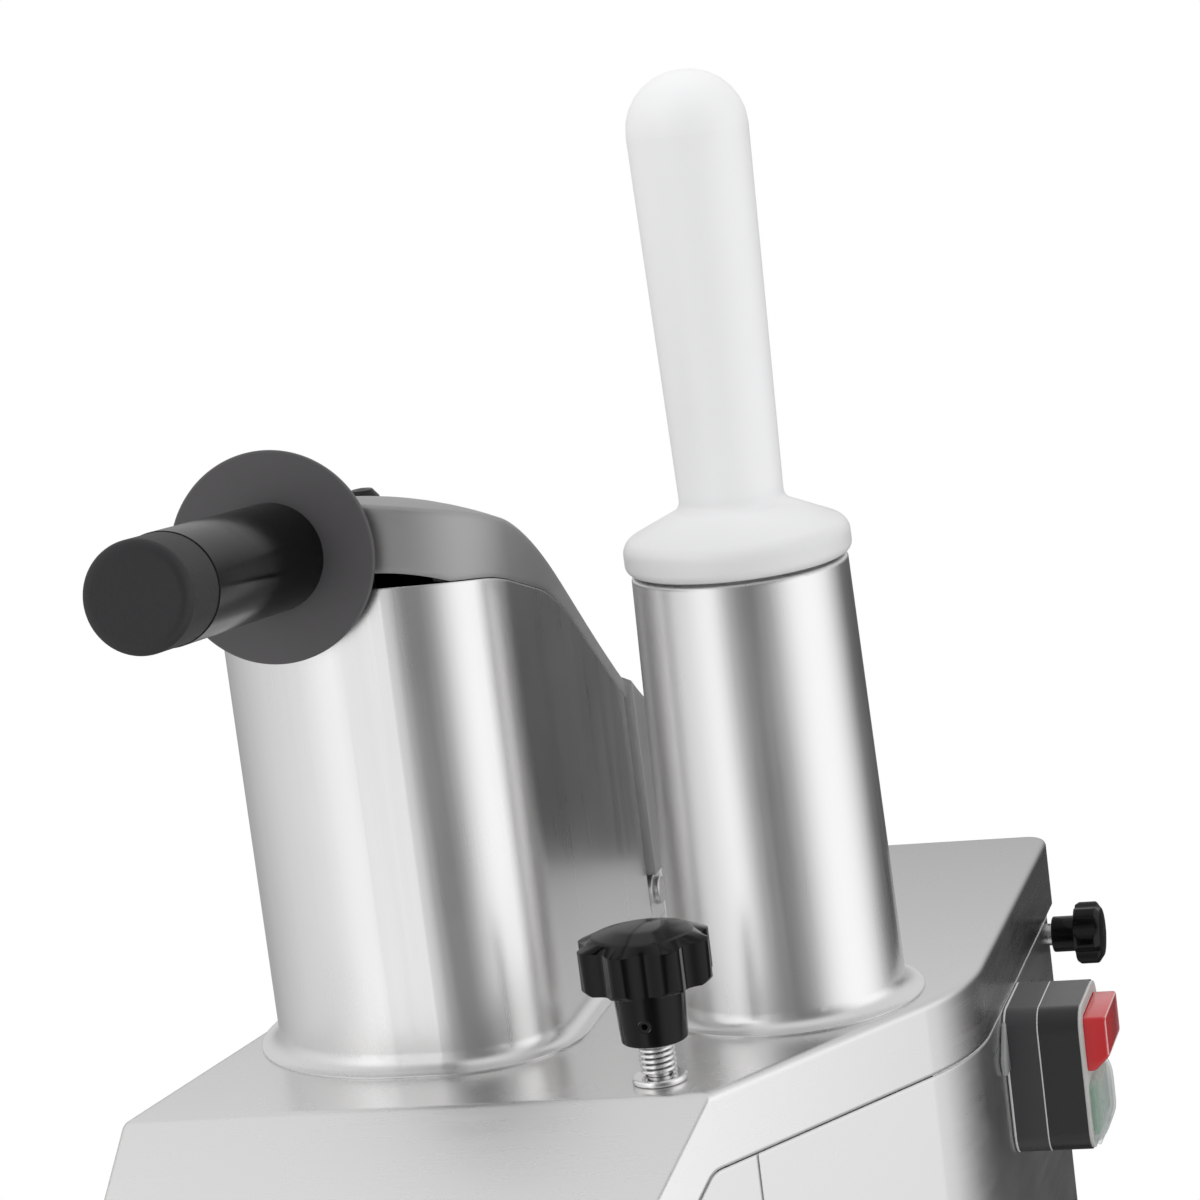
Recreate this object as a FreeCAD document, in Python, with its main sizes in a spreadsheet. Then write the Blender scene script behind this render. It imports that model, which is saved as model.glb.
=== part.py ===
import FreeCAD, Part
import math
import os
import re
import Sketcher
from FreeCAD import Placement, Rotation, Vector

# Commercial vegetable cutting machine: a sloped cast body, a hinged lid with two feed openings,
# a pressing lever, a cutting disc on a belt-driven shaft, and a start and stop switch.
# Most pieces are drawn in the lid frame: u to the right, v up the slope to the rear,
# w square to the lid's top face, with its origin in the middle of the feed tube's foot.

doc = FreeCAD.newDocument("vegetable_cutter")
sheet = doc.addObject("Spreadsheet::Sheet", "sizes")
aliases = []


def size(alias, value):
    """Write one driving size into the next row of the sheet."""
    row = len(aliases) + 1
    sheet.set("A%d" % row, alias)
    sheet.set("B%d" % row, str(value))
    sheet.setAlias("B%d" % row, alias)
    aliases.append(alias)


def bind(formula):
    """Turn a formula in plain aliases into one that points at the sheet."""
    return re.sub(r"[a-z][a-z_]+", lambda word: "sizes." + word.group(0) if word.group(0) in aliases
                  else word.group(0), formula)


def num(formula):
    """Value of a formula in the sheet's aliases."""
    return float(sheet.evalExpression(bind(formula)))


# Frame of the lid
size("slope_angle", 28)
size("datum_x", 58.4)
size("datum_y", -24.2)
size("datum_z", 228)
# Outline of the castings, seen square to the lid
size("front_edge", 99)
size("front_left", 200)
size("front_right", 6)
size("flank_right", 60)
size("flank_left", 171.4)
size("flank_bend", 46.2)
size("diagonal_run", 103.1)
size("diagonal_radius", 80)
size("lid_rear", 189)
size("corner_radius", 8)
size("kink_radius", 120)
size("casting_wall", 5)
size("lid_top", 6)
size("lid_height", 24.5)
size("parting_gap", 0.5)
size("lid_rounding", 2.5)
# Front apron of the lid
size("apron_angle", 48)
size("apron_length", 105)
size("apron_return", 14.5)
size("apron_corner", 6)
# Cutting chamber
size("chamber_u", 64)
size("chamber_v", 25)
size("chamber_radius", 104.5)
size("chamber_floor", 58)
size("floor_thickness", 6)
size("mouth_left", 165)
size("mouth_right", 45)
size("mouth_rear", 40)
size("front_wall", 90)
size("ledge_depth", 11)
# Body
size("base_height", 16)
size("hinge_v", 166.8)
size("hinge_w", 32)
size("hinge_round", 7)
size("lug_one", 17)
size("lug_two", 145)
size("lug_length", 17.5)
size("lug_gap", 0.5)
size("barrel_length", 16.5)
size("pin_reach", 167)
size("plate_thickness", 2)
# Feed tube and its pusher
size("tube_foot_radius", 38.4)
size("tube_top_radius", 35.4)
size("tube_height", 146.6)
size("tube_bore", 31)
size("weld_radius", 5.5)
size("foot_lip", 0.6)
size("pusher_gap", 0.7)
size("pusher_flange", 37.1)
size("pusher_handle_foot", 17)
size("pusher_handle_top", 19.7)
size("pusher_length", 307.6)
# Hopper
size("hopper_right", 69)
size("hopper_rear", 97)
size("hopper_left", 173.5)
size("hopper_front", 162)
size("hopper_nose", 62.5)
size("hopper_corner", 55)
size("hopper_near_corner", 34)
size("fit_gap", 0.4)
# Pressing lever
size("crown_u", 120)
size("crown_radius", 111)
size("hood_wall", 5)
size("hood_edge", 1)
size("leg_rear", 122)
size("leg_left", 146)
size("leg_right", 66.5)
size("pivot_v", 106.5)
size("pivot_w", 10)
size("pivot_radius", 5)
size("lug_radius", 8.2)
size("ear_width", 10)
size("grip_u", 135)
size("grip_v", 67)
size("grip_w", 173.3)
size("grip_droop", 6.3)
size("guard_radius", 34.1)
size("guard_thickness", 2.4)
size("grip_radius", 17.5)
size("sleeve_length", 99)
size("cap_length", 24)
size("rod_radius", 8)
size("lens_radius", 49.6)
size("lens_u", 104.7)
size("lens_rise", 2.7)
size("lens_back", 53)
size("cap_sink", 0.3)
size("press_low", 12)
size("press_high", 18)
size("web_u", 115)
size("web_half", 4)
# Lock knob
size("lock_u", 25.9)
size("lock_v", 83.6)
size("boss_radius", 9)
size("boss_depth", 24)
size("stud_radius", 4)
size("stud_depth", 33)
size("stud_clearance", 1.8)
size("washer_radius", 8.9)
size("washer_height", 2.2)
size("spring_radius", 5.85)
size("spring_wire", 1.2)
size("spring_turns", 5)
size("spring_height", 10)
size("hub_radius", 11.5)
size("hub_height", 15.3)
size("star_radius", 21.4)
size("star_height", 17.5)
size("star_lobes", 8)
# Side knob on the hinge pin
size("pin_radius", 4)
size("bore_clearance", 0.05)
size("side_hub_radius", 6.5)
size("side_hub_height", 8.6)
size("side_star_radius", 11.4)
size("side_star_height", 10.6)
# Cutting discs and shaft
size("disc_radius", 102.5)
size("disc_thickness", 3)
size("disc_top", 13)
size("shaft_radius", 10)
size("disc_hub_radius", 16)
size("ejector_top", 52)
# Drive under the chamber
size("housing_radius", 29)
size("housing_length", 80)
size("bearing_radius", 23.5)
size("bearing_width", 14)
size("motor_u", 12)
size("motor_v", 98)
size("motor_radius", 55)
size("motor_length", 94)
size("motor_plate_w", 178)
size("motor_plate_thickness", 6)
size("post_radius", 7)
size("post_reach", 54)
size("plate_margin", 10)
size("flange_screws", 36)
size("flange_thickness", 6)
size("belt_w", 190)
size("belt_width", 16)
size("large_pulley", 67.6)
size("small_pulley", 13)
size("belt_thickness", 4)
size("motor_shaft", 7)
# Switch
size("switch_v", 48)
size("switch_width", 44)
size("switch_top", 25.1)
size("switch_height", 51)
size("switch_back", 12)
size("switch_front", 14)
size("bezel_thickness", 0.9)
size("button_travel", 2.5)
size("window_side", 6)
size("stop_top", 4)
size("stop_low", 24)
size("stop_reach", 7.8)
size("start_top", 28)
size("start_reach", 1.8)
size("start_margin", 4)
size("cover_side", 3.5)
size("cover_top", 26.5)
size("cover_margin", 1.5)
size("cover_rise", 4.8)
size("cover_wall", 1.1)
size("cover_hinge", 0.8)
# Feet
size("foot_radius", 16)
size("foot_inset", 32)
size("foot_screw", 3)
size("gland_u", 120)
size("gland_w", 280)
size("gland_bore", 4)
size("gland_thread", 9)
size("screw_radius", 3)
size("screw_head", 5)
doc.recompute()

TILT = Rotation(Vector(1, 0, 0), num("slope_angle"))
LID = Placement(Vector(num("datum_x"), num("datum_y"), num("datum_z")), TILT)
nodes = []


def lid_at(u, v, w, turn=Rotation()):
    """Placement of a piece whose own origin sits at u, v, w in the lid frame."""
    return LID.multiply(Placement(Vector(u, v, w), turn))


def register(piece, name, place):
    """Name a finished piece and put it where it belongs."""
    piece.Label = name
    piece.Placement = place
    nodes.append(piece)
    return piece


def casting(name, shape, place):
    """A piece whose shape is worked out in this file from the sheet."""
    piece = doc.addObject("Part::Feature", name)
    piece.Shape = shape
    return register(piece, name, place)


def plane_of(body, role):
    return [item for item in body.Origin.OriginFeatures if item.Role == role][0]


def closed_profile(body, name, role, corners):
    """Sketch of straight edges whose every corner is held by two bound distances."""
    sketch = body.newObject("Sketcher::SketchObject", name)
    sketch.AttachmentSupport = (plane_of(body, role), [""])
    sketch.MapMode = "FlatFace"
    points = [Vector(num(x), num(y), 0) for x, y in corners]
    count = len(points)
    for index in range(count):
        sketch.addGeometry(Part.LineSegment(points[index], points[(index + 1) % count]), False)
    for index in range(count):
        sketch.addConstraint(Sketcher.Constraint("Coincident", index, 2, (index + 1) % count, 1))
    for index, (x, y) in enumerate(corners):
        for kind, formula, value in (("DistanceX", x, points[index].x), ("DistanceY", y, points[index].y)):
            number = sketch.addConstraint(Sketcher.Constraint(kind, -1, 1, index, 1, value))
            if re.search("[a-z]", formula):
                sketch.setExpression("Constraints[%d]" % number, bind(formula))
    return sketch


def rings_at(shape, rings):
    """Names of the circular edges at the given radius and height pairs."""
    names = []
    for radius, height in rings:
        for index, edge in enumerate(shape.Edges):
            if not isinstance(edge.Curve, Part.Circle):
                continue
            same_radius = abs(edge.Curve.Radius - num(radius)) < 0.01
            same_height = abs(edge.Curve.Center.z - num(height)) < 0.01
            if same_radius and same_height:
                names.append("Edge%d" % (index + 1))
    return names


def round_rings(body, feature, number, rings, radius):
    """Round circular edges of a turned piece."""
    doc.recompute()
    rounding = body.newObject("PartDesign::Fillet", body.Name + "_round%d" % number)
    rounding.Base = (feature, rings_at(feature.Shape, rings))
    rounding.Radius = num(radius)
    if re.search("[a-z]", radius):
        rounding.setExpression("Radius", bind(radius))
    return rounding


def turned(name, corners, place, rounds=()):
    """Piece of revolution about its own Z axis; corners are (radius, height) formulas."""
    body = doc.addObject("PartDesign::Body", name)
    sketch = closed_profile(body, name + "_profile", "XZ_Plane", corners)
    feature = body.newObject("PartDesign::Revolution", name + "_turned")
    feature.Profile = sketch
    feature.ReferenceAxis = (sketch, ["V_Axis"])
    feature.Angle = 360
    for number, (rings, radius) in enumerate(rounds):
        feature = round_rings(body, feature, number, rings, radius)
    body.Tip = feature
    return register(body, name, place)


def ring(name, inner, outer, low, high, place, rounds=()):
    """Turned ring or, with an inner radius of 0, a turned disc."""
    return turned(name, [(inner, low), (outer, low), (outer, high), (inner, high)], place, rounds)


def padded(name, corners, depth, place, rounding=None):
    """Plate padded upwards from its own XY plane, its standing edges rounded."""
    body = doc.addObject("PartDesign::Body", name)
    sketch = closed_profile(body, name + "_outline", "XY_Plane", corners)
    feature = body.newObject("PartDesign::Pad", name + "_pad")
    feature.Profile = sketch
    feature.Length = num(depth)
    if re.search("[a-z]", depth):
        feature.setExpression("Length", bind(depth))
    if rounding:
        doc.recompute()
        standing = ["Edge%d" % (index + 1) for index, edge in enumerate(feature.Shape.Edges)
                    if abs(edge.tangentAt(edge.FirstParameter).z) > 0.99]
        rounded_pad = body.newObject("PartDesign::Fillet", name + "_corners")
        rounded_pad.Base = (feature, standing)
        rounded_pad.Radius = num(rounding)
        if re.search("[a-z]", rounding):
            rounded_pad.setExpression("Radius", bind(rounding))
        feature = rounded_pad
    body.Tip = feature
    return register(body, name, place)


def fluted(body, base, lobes, flute_radius, flute_reach, name):
    """Cut the hand grooves of a star knob and repeat them round its axis."""
    sketch = body.newObject("Sketcher::SketchObject", name + "_flute")
    sketch.AttachmentSupport = (plane_of(body, "XY_Plane"), [""])
    sketch.MapMode = "FlatFace"
    sketch.addGeometry(Part.Circle(Vector(num(flute_reach), 0, 0), Vector(0, 0, 1), num(flute_radius)),
                       False)
    sketch.addConstraint(Sketcher.Constraint("PointOnObject", 0, 3, -1))
    reach = sketch.addConstraint(Sketcher.Constraint("DistanceX", -1, 1, 0, 3, num(flute_reach)))
    sketch.setExpression("Constraints[%d]" % reach, bind(flute_reach))
    width = sketch.addConstraint(Sketcher.Constraint("Radius", 0, num(flute_radius)))
    sketch.setExpression("Constraints[%d]" % width, bind(flute_radius))
    cut = body.newObject("PartDesign::Pocket", name + "_groove")
    cut.Profile = sketch
    cut.Type = "ThroughAll"
    cut.Midplane = True
    doc.recompute()
    pattern = body.newObject("PartDesign::PolarPattern", name + "_grooves")
    pattern.Originals = [cut]
    pattern.Axis = (sketch, ["N_Axis"])
    pattern.Angle = 360
    pattern.Occurrences = int(num(lobes))
    pattern.setExpression("Occurrences", bind(lobes))
    body.Tip = pattern
    doc.recompute()
    if pattern.Shape.Volume >= base.Shape.Volume:
        raise RuntimeError("the grooves of " + name + " cut nothing")
    return pattern


def rod(start, end, radius):
    """Straight round bar between two points."""
    along = end.sub(start)
    return Part.makeCylinder(radius, along.Length, start, along)


def block(low, high):
    """Box between two corners."""
    low, high = Vector(*low), Vector(*high)
    return Part.makeBox(high.x - low.x, high.y - low.y, high.z - low.z, low)


def corner_wire(points, radii):
    """Closed wire through plan points, each corner rounded by its radius."""
    edges = []
    count = len(points)
    starts, ends, middles = [], [], []
    for index, point in enumerate(points):
        before = points[index - 1].sub(point).normalize()
        after = points[(index + 1) % count].sub(point).normalize()
        radius = radii[index]
        if radius <= 0:
            starts.append(point)
            ends.append(point)
            middles.append(None)
            continue
        half = before.getAngle(after) / 2
        reach = radius / math.tan(half)
        inward = before.add(after).normalize()
        centre = point.add(inward.multiply(radius / math.sin(half)))
        start = point.add(before.multiply(reach))
        end = point.add(after.multiply(reach))
        middle = centre.add(point.sub(centre).normalize().multiply(radius))
        starts.append(start)
        ends.append(end)
        middles.append(middle)
    for index in range(count):
        if middles[index] is not None:
            edges.append(Part.Arc(starts[index], middles[index], ends[index]).toShape())
        following = starts[(index + 1) % count]
        if ends[index].distanceToPoint(following) > 1e-6:
            edges.append(Part.LineSegment(ends[index], following).toShape())
    return Part.Wire(edges)


def prism(wire, low, high):
    """Solid between two heights over a plan wire drawn at height 0."""
    face = Part.Face(wire)
    face.translate(Vector(0, 0, low))
    return face.extrude(Vector(0, 0, high - low))


def side_prism(points, radii=None):
    """Solid right across the machine with the given side view, points as (v, w)."""
    wide = 400
    outline = [Vector(-wide, v, w) for v, w in points]
    wire = corner_wire(outline, radii or [0] * len(points))
    return Part.Face(wire).extrude(Vector(2 * wide, 0, 0))


# Values used all over the castings
wall = num("casting_wall")
chamber = Vector(-num("chamber_u"), num("chamber_v"), 0)
lid_bottom = -num("lid_height")
deck = lid_bottom - num("parting_gap")
far = 420


def plan_points(rear):
    """Plan outline of the castings, run on ahead of the front edge for the nose."""
    ahead = 100
    left_lean = (num("front_left") - num("flank_left")) / (num("front_edge") + num("flank_bend"))
    right_lean = (num("flank_right") + num("front_right")) / num("diagonal_run")
    front = -num("front_edge")
    return [
        Vector(-num("front_left") - left_lean * ahead, front - ahead, 0),
        Vector(-num("front_right") - right_lean * ahead, front - ahead, 0),
        Vector(num("flank_right"), front + num("diagonal_run"), 0),
        Vector(num("flank_right"), rear, 0),
        Vector(-num("flank_left"), rear, 0),
        Vector(-num("flank_left"), num("flank_bend"), 0),
    ]


def plan_wire(rear, inset=0.0):
    corner = num("corner_radius")
    radii = [0, 0, num("diagonal_radius"), corner, corner, num("kink_radius")]
    wire = corner_wire(plan_points(rear), radii)
    if inset:
        wire = wire.makeOffset2D(-inset)
    return wire


def apron_line(behind, along):
    """Point in the side view at a depth behind the apron and a length down it."""
    angle = math.radians(num("apron_angle"))
    v = -num("front_edge") + behind * math.sin(angle) - along * math.cos(angle)
    w = -behind * math.cos(angle) - along * math.sin(angle)
    return v, w


def apron_at_height(behind, w):
    """Point of the line at that depth behind the apron where it crosses a height."""
    angle = math.radians(num("apron_angle"))
    along = (-behind * math.cos(angle) - w) / math.sin(angle)
    return apron_line(behind, along)


def level_w(height, v):
    """Height along w, at a given v, of a level plane over the table."""
    slope = math.radians(num("slope_angle"))
    return (height - num("datum_z") - v * math.sin(slope)) / math.cos(slope)


def level_back(point, v):
    """Run level to the rear from a side-view point until v."""
    slope = math.radians(num("slope_angle"))
    return v, point[1] - math.tan(slope) * (v - point[0])


# Lid casting: a shallow cover whose front folds down as an apron over the outlet
rear_lid = num("lid_rear")
ret = num("apron_return")
lid_side = [(rear_lid, 0), (-num("front_edge"), 0), apron_line(0, num("apron_length")),
            apron_line(ret, num("apron_length")), apron_at_height(ret, lid_bottom), (rear_lid, lid_bottom)]
lid_inner_side = [(rear_lid, -num("lid_top")), apron_at_height(wall, -num("lid_top")),
                  apron_line(wall, num("apron_length") + 20), apron_line(ret + 40, num("apron_length") + 20),
                  apron_at_height(ret + 40, -70), (rear_lid, -70)]
lid_shape = side_prism(lid_side, [0, 0, 0, 0, num("apron_corner"), 0])
lid_shape = lid_shape.common(prism(plan_wire(rear_lid), -far, far))
lid_edges = [edge for edge in lid_shape.Edges if edge.BoundBox.ZMin > -0.01]
lid_shape = lid_shape.makeFillet(num("lid_rounding"), lid_edges)
lid_hollow = side_prism(lid_inner_side).common(prism(plan_wire(rear_lid, wall), -far, far))
lid_shape = lid_shape.cut(lid_hollow)
collar = Part.makeCylinder(num("chamber_radius") + wall, num("lid_height") - 1,
                           chamber + Vector(0, 0, lid_bottom))
collar = collar.cut(Part.makeCylinder(num("chamber_radius"), far, chamber + Vector(0, 0, -far / 2)))
lid_mouth = block((-num("mouth_left"), -far, -far),
                  (-num("mouth_right"), -num("mouth_rear"), -num("lid_top")))
collar = collar.common(prism(plan_wire(rear_lid, 1), -far, far)).cut(lid_mouth)
lid_shape = lid_shape.fuse(collar)
hinge_axis = Vector(0, num("hinge_v"), -num("hinge_w"))
lug_round = num("hinge_round") - 0.4
lug_starts = (num("lug_one"), -num("lug_two"))
lugs = [(start, start + num("lug_length")) for start in lug_starts]
for low, high in lugs:
    knuckle = rod(hinge_axis + Vector(low, 0, 0), hinge_axis + Vector(high, 0, 0), lug_round)
    web = block((low, num("hinge_v") - lug_round, -num("hinge_w")),
                (high, num("hinge_v") + 4, -num("lid_top") / 2))
    lid_shape = lid_shape.fuse(knuckle).fuse(web)
pin_bore = rod(hinge_axis + Vector(-far, 0, 0), hinge_axis + Vector(far, 0, 0),
               num("pin_radius") + num("bore_clearance"))
lid_shape = lid_shape.cut(pin_bore)
lock_at = Vector(-num("lock_u"), -num("lock_v"), 0)
stud_bore = Part.makeCylinder(num("stud_radius") + 0.3, 60, lock_at + Vector(0, 0, -40))
lock_boss = Part.makeCylinder(num("washer_radius"), num("lid_height") - 1,
                              lock_at + Vector(0, 0, lid_bottom))
lid_shape = lid_shape.fuse(lock_boss.common(prism(plan_wire(rear_lid, 1), -far, far)))
lid_shape = lid_shape.cut(stud_bore)
tube_bore = Part.makeCylinder(num("tube_bore"), 40, Vector(0, 0, -20))


# Feed hopper: a D-shaped shaft over the left half of the disc, cast with the lid
def hopper_wire(inset=0.0):
    right = -num("hopper_right")
    rear = num("hopper_rear")
    left = -num("hopper_left")
    front = -num("hopper_nose")
    points = [Vector(right, rear, 0), Vector(right, front, 0), Vector(left, front, 0), Vector(left, rear, 0)]
    radii = [3, num("hopper_near_corner"), num("hopper_corner"), num("hopper_corner")]
    wire = corner_wire(points, radii)
    if inset:
        wire = wire.makeOffset2D(-inset)
    return wire


lid_shape = lid_shape.cut(tube_bore)
hopper_bore = prism(hopper_wire(wall), -far, far)
lid_shape = lid_shape.cut(hopper_bore.common(block((-far, -far, -num("lid_top") - 4), (far, far, far))))
casting("lid_casting", lid_shape, LID)

# Side view of the joint between hopper and hood, falling to the rear
joint = [(-90, num("hopper_front") + 2), (-42, num("hopper_front") - 5.5), (11, 140.5), (32, 129.5),
         (97, 82.5),
         (150, 45)]
joint_radii = [0, 60, 90, 120, 0, 0]
below_joint = side_prism(joint + [(150, -60), (-90, -60)], joint_radii + [0, 0])
raised_joint = [(v, w + num("fit_gap")) for v, w in joint]
above_joint = side_prism(raised_joint + [(150, far), (-90, far)], joint_radii + [0, 0])
lip = num("foot_lip")
foot = prism(hopper_wire(-num("weld_radius") - 1), 0, lip)
hopper_shape = prism(hopper_wire(), 0, num("hopper_front") + 20).fuse(foot)
hopper_line = hopper_wire()
hopper_line.translate(Vector(0, 0, lip))
inner_edges = []
for edge in hopper_shape.Edges:
    halfway = edge.valueAt((edge.FirstParameter + edge.LastParameter) / 2)
    if hopper_line.distToShape(Part.Vertex(halfway))[0] < 0.01:
        inner_edges.append(edge)
hopper_shape = hopper_shape.makeFillet(num("weld_radius"), inner_edges)
hopper_shape = hopper_shape.cut(prism(hopper_wire(wall), -5, far)).common(below_joint)
leg_left, leg_right = -num("leg_left"), -num("leg_right")
ear_spans = ((leg_left, leg_left + num("ear_width")), (leg_right - num("ear_width") - 2.5, leg_right - 2.5))
for low, high in ear_spans:
    hopper_shape = hopper_shape.cut(block((low - 0.3, num("pivot_v") - 7.7, -1), (high + 0.3, far, 20)))
tube_hole = Part.makeCylinder(num("tube_foot_radius") + num("weld_radius") + 1, 40, Vector(0, 0, -20))
hopper_shape = hopper_shape.cut(tube_hole)
casting("feed_hopper", hopper_shape, LID)

# Feed tube: cast with a slight draft, welded to the lid with a hollow fillet at its foot
turned("feed_tube", [
    ("tube_bore", "0"), ("tube_foot_radius + weld_radius + 0.5", "0"),
    ("tube_foot_radius + weld_radius + 0.5", "foot_lip"), ("tube_foot_radius", "foot_lip"),
    ("tube_top_radius", "tube_height"), ("tube_bore", "tube_height")],
    LID,
    [([("tube_foot_radius", "foot_lip")], "weld_radius"), ([("tube_top_radius", "tube_height")], "1.2")])

# Pusher: one white plastic piece with a plunger, a seat flange and a handle
turned("feed_pusher", [
    ("0", "-2"), ("tube_bore - pusher_gap", "-2"), ("tube_bore - pusher_gap", "tube_height + 0.9"),
    ("pusher_flange", "tube_height + 0.9"), ("pusher_flange", "tube_height + 11"),
    ("pusher_handle_foot", "tube_height + 20.4"),
    ("pusher_handle_top", "pusher_length - 20"), ("pusher_handle_top", "pusher_length"),
    ("0", "pusher_length")],
    LID, [([("pusher_flange", "tube_height + 0.9")], "3"), ([("pusher_flange", "tube_height + 11")], "5"),
          ([("pusher_handle_foot", "tube_height + 20.4")], "4.5"),
          ([("pusher_handle_top", "pusher_length")], "pusher_handle_top - 0.8"),
          ([("tube_bore - pusher_gap", "-2")], "2")])

# Body: side view, then the plan, then its hollows
rear_body = num("hinge_v") + num("hinge_round")
nose_back = apron_at_height(ret + num("parting_gap"), -78)
body_side = [(rear_body, deck), apron_at_height(ret + num("parting_gap"), deck), nose_back,
             level_back(nose_back, -num("front_wall")),
             (-num("front_wall"), level_w(num("base_height"), -num("front_wall"))),
             (rear_body, level_w(num("base_height"), rear_body))]
body_solid = side_prism(body_side, [num("hinge_round"), num("apron_corner") + 0.5, 0, 0, 0, 0])
body_solid = body_solid.common(prism(plan_wire(rear_body), -far, far))
deck_under = deck - wall
motor_room = block((-far, -num("front_wall") + wall, -far), (far, rear_body - wall, deck_under))
motor_room = motor_room.common(prism(plan_wire(rear_body, wall), -far, far))
nose_room = block((-far, -far, -far), (far, -num("front_wall"), far))
nose_room = nose_room.common(prism(plan_wire(rear_body, wall), -far, far))
body_shape = body_solid.cut(motor_room).cut(nose_room)
floor_low = -num("chamber_floor") - num("floor_thickness")
bowl = Part.makeCylinder(num("chamber_radius") + wall, deck - floor_low, chamber + Vector(0, 0, floor_low))
outlet_block = block((-far, -num("front_wall") + 1, floor_low), (-num("mouth_right") + 6, -20, deck))
body_shape = body_shape.fuse(bowl.fuse(outlet_block).common(body_solid))
boss_low = deck - num("boss_depth")
lock_boss_low = Part.makeCylinder(num("boss_radius"), num("boss_depth"), lock_at + Vector(0, 0, boss_low))
body_shape = body_shape.fuse(lock_boss_low.common(body_solid))
reach = num("post_reach")
post_places = [(reach - num("motor_u"), num("motor_v") - reach),
               (reach - num("motor_u"), num("motor_v") + reach),
               (-reach - num("motor_u"), num("motor_v") + reach)]
post_top = [floor_low + 2, deck_under + 2, deck_under + 2]
plate_top = -num("motor_plate_w")
posts = [Part.makeCylinder(num("post_radius"), top - plate_top, Vector(u, v, plate_top))
         for (u, v), top in zip(post_places, post_top)]
above_floor = chamber - Vector(0, 0, num("chamber_floor"))
body_shape = body_shape.cut(Part.makeCylinder(num("chamber_radius"), far, above_floor))
mouth = block((-num("mouth_left"), -far, -num("chamber_floor")),
              (-num("mouth_right"), -num("mouth_rear"), far))
body_shape = body_shape.cut(mouth)
shaft_hole = num("shaft_radius") + 7
body_shape = body_shape.cut(Part.makeCylinder(shaft_hole, 40, above_floor - Vector(0, 0, 20)))
lock_hole = Part.makeCylinder(num("stud_radius") + num("stud_clearance"), 14,
                              lock_at + Vector(0, 0, deck - 14))
body_shape = body_shape.cut(lock_hole)
for low, high in lugs:
    low -= num("lug_gap")
    high += num("lug_gap")
    notch = rod(hinge_axis + Vector(low, 0, 0), hinge_axis + Vector(high, 0, 0), lug_round + 1)
    slot = block((low, num("hinge_v") - lug_round - 1, -num("hinge_w")), (high, num("hinge_v") + 20, 0))
    body_shape = body_shape.cut(notch).cut(slot)
lug_gap = num("lug_gap")
barrels = [(low - lug_gap - num("barrel_length"), low - lug_gap) for low, high in lugs]
barrels += [(high + lug_gap, high + lug_gap + num("barrel_length")) for low, high in lugs]
barrels += [(num("flank_right") - wall - 6, num("flank_right") - 1),
            (1 - num("flank_left"), 6 + wall - num("flank_left"))]
for low, high in barrels:
    barrel = rod(hinge_axis + Vector(low, 0, 0), hinge_axis + Vector(high, 0, 0), num("hinge_round"))
    body_shape = body_shape.fuse(barrel.common(body_solid))
body_bore = rod(hinge_axis - Vector(num("pin_reach") + 1, 0, 0), hinge_axis + Vector(far, 0, 0),
                num("pin_radius") + num("bore_clearance"))
body_shape = body_shape.cut(body_bore)
foot_places = [(-168, -58), (-14, -58), (-142, 146), (30, 146)]
upright = LID.inverse().Rotation.multVec(Vector(0, 0, 1))


def level_point(u, v, height):
    """Point at plan place u, v of the footprint, at a height over the table, in the lid frame."""
    return Vector(u, v, level_w(num("base_height"), v)) + upright * (height - num("base_height"))


to_lid = LID.inverse().toMatrix()
foot_boss, boss_height, rib_half = 10, 26, 3
for u, v in foot_places:
    low_point = level_point(u, v, num("base_height"))
    boss = rod(low_point, level_point(u, v, num("base_height") + boss_height), foot_boss)
    standing = LID.multVec(low_point)
    side_way = -1 if u < -num("chamber_u") else 1
    end_way = -1 if v < 0 else 1
    side_end = standing.x + side_way * 2 * num("foot_inset")
    end_end = standing.y + end_way * 2 * num("foot_inset")
    rib_top = standing.z + boss_height
    side_rib = block((min(standing.x, side_end), standing.y - rib_half, standing.z),
                     (max(standing.x, side_end), standing.y + rib_half, rib_top))
    end_rib = block((standing.x - rib_half, min(standing.y, end_end), standing.z),
                    (standing.x + rib_half, max(standing.y, end_end), rib_top))
    ribs = side_rib.fuse(end_rib).transformed(to_lid)
    body_shape = body_shape.fuse(boss.fuse(ribs).common(body_solid))
for u, v in foot_places:
    screw_hole = rod(level_point(u, v, -20), level_point(u, v, num("base_height") + 22),
                     num("foot_screw") + num("bore_clearance"))
    body_shape = body_shape.cut(screw_hole)
gland_at = Vector(-num("gland_u"), rear_body, -num("gland_w"))
gland_hole = rod(gland_at + Vector(0, -20, 0), gland_at + Vector(0, 5, 0), num("gland_thread") + 0.1)
body_shape = body_shape.cut(gland_hole)
switch_middle = num("switch_v") + num("switch_width") / 2
wire_hole = block((40, switch_middle - 14, -num("switch_top") - 40),
                  (80, switch_middle + 14, -num("switch_top") - 14))
body_shape = body_shape.cut(wire_hole)
screw_circle = Vector(num("flange_screws"), 0, 0)
housing_screws = [Rotation(Vector(0, 0, 1), 45 + 90 * turn).multVec(screw_circle) for turn in range(4)]
for x, y, _ in housing_screws:
    screw_foot = chamber + Vector(x, y, floor_low - 1)
    body_shape = body_shape.cut(Part.makeCylinder(num("screw_radius") + 0.1, 6, screw_foot))

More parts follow.
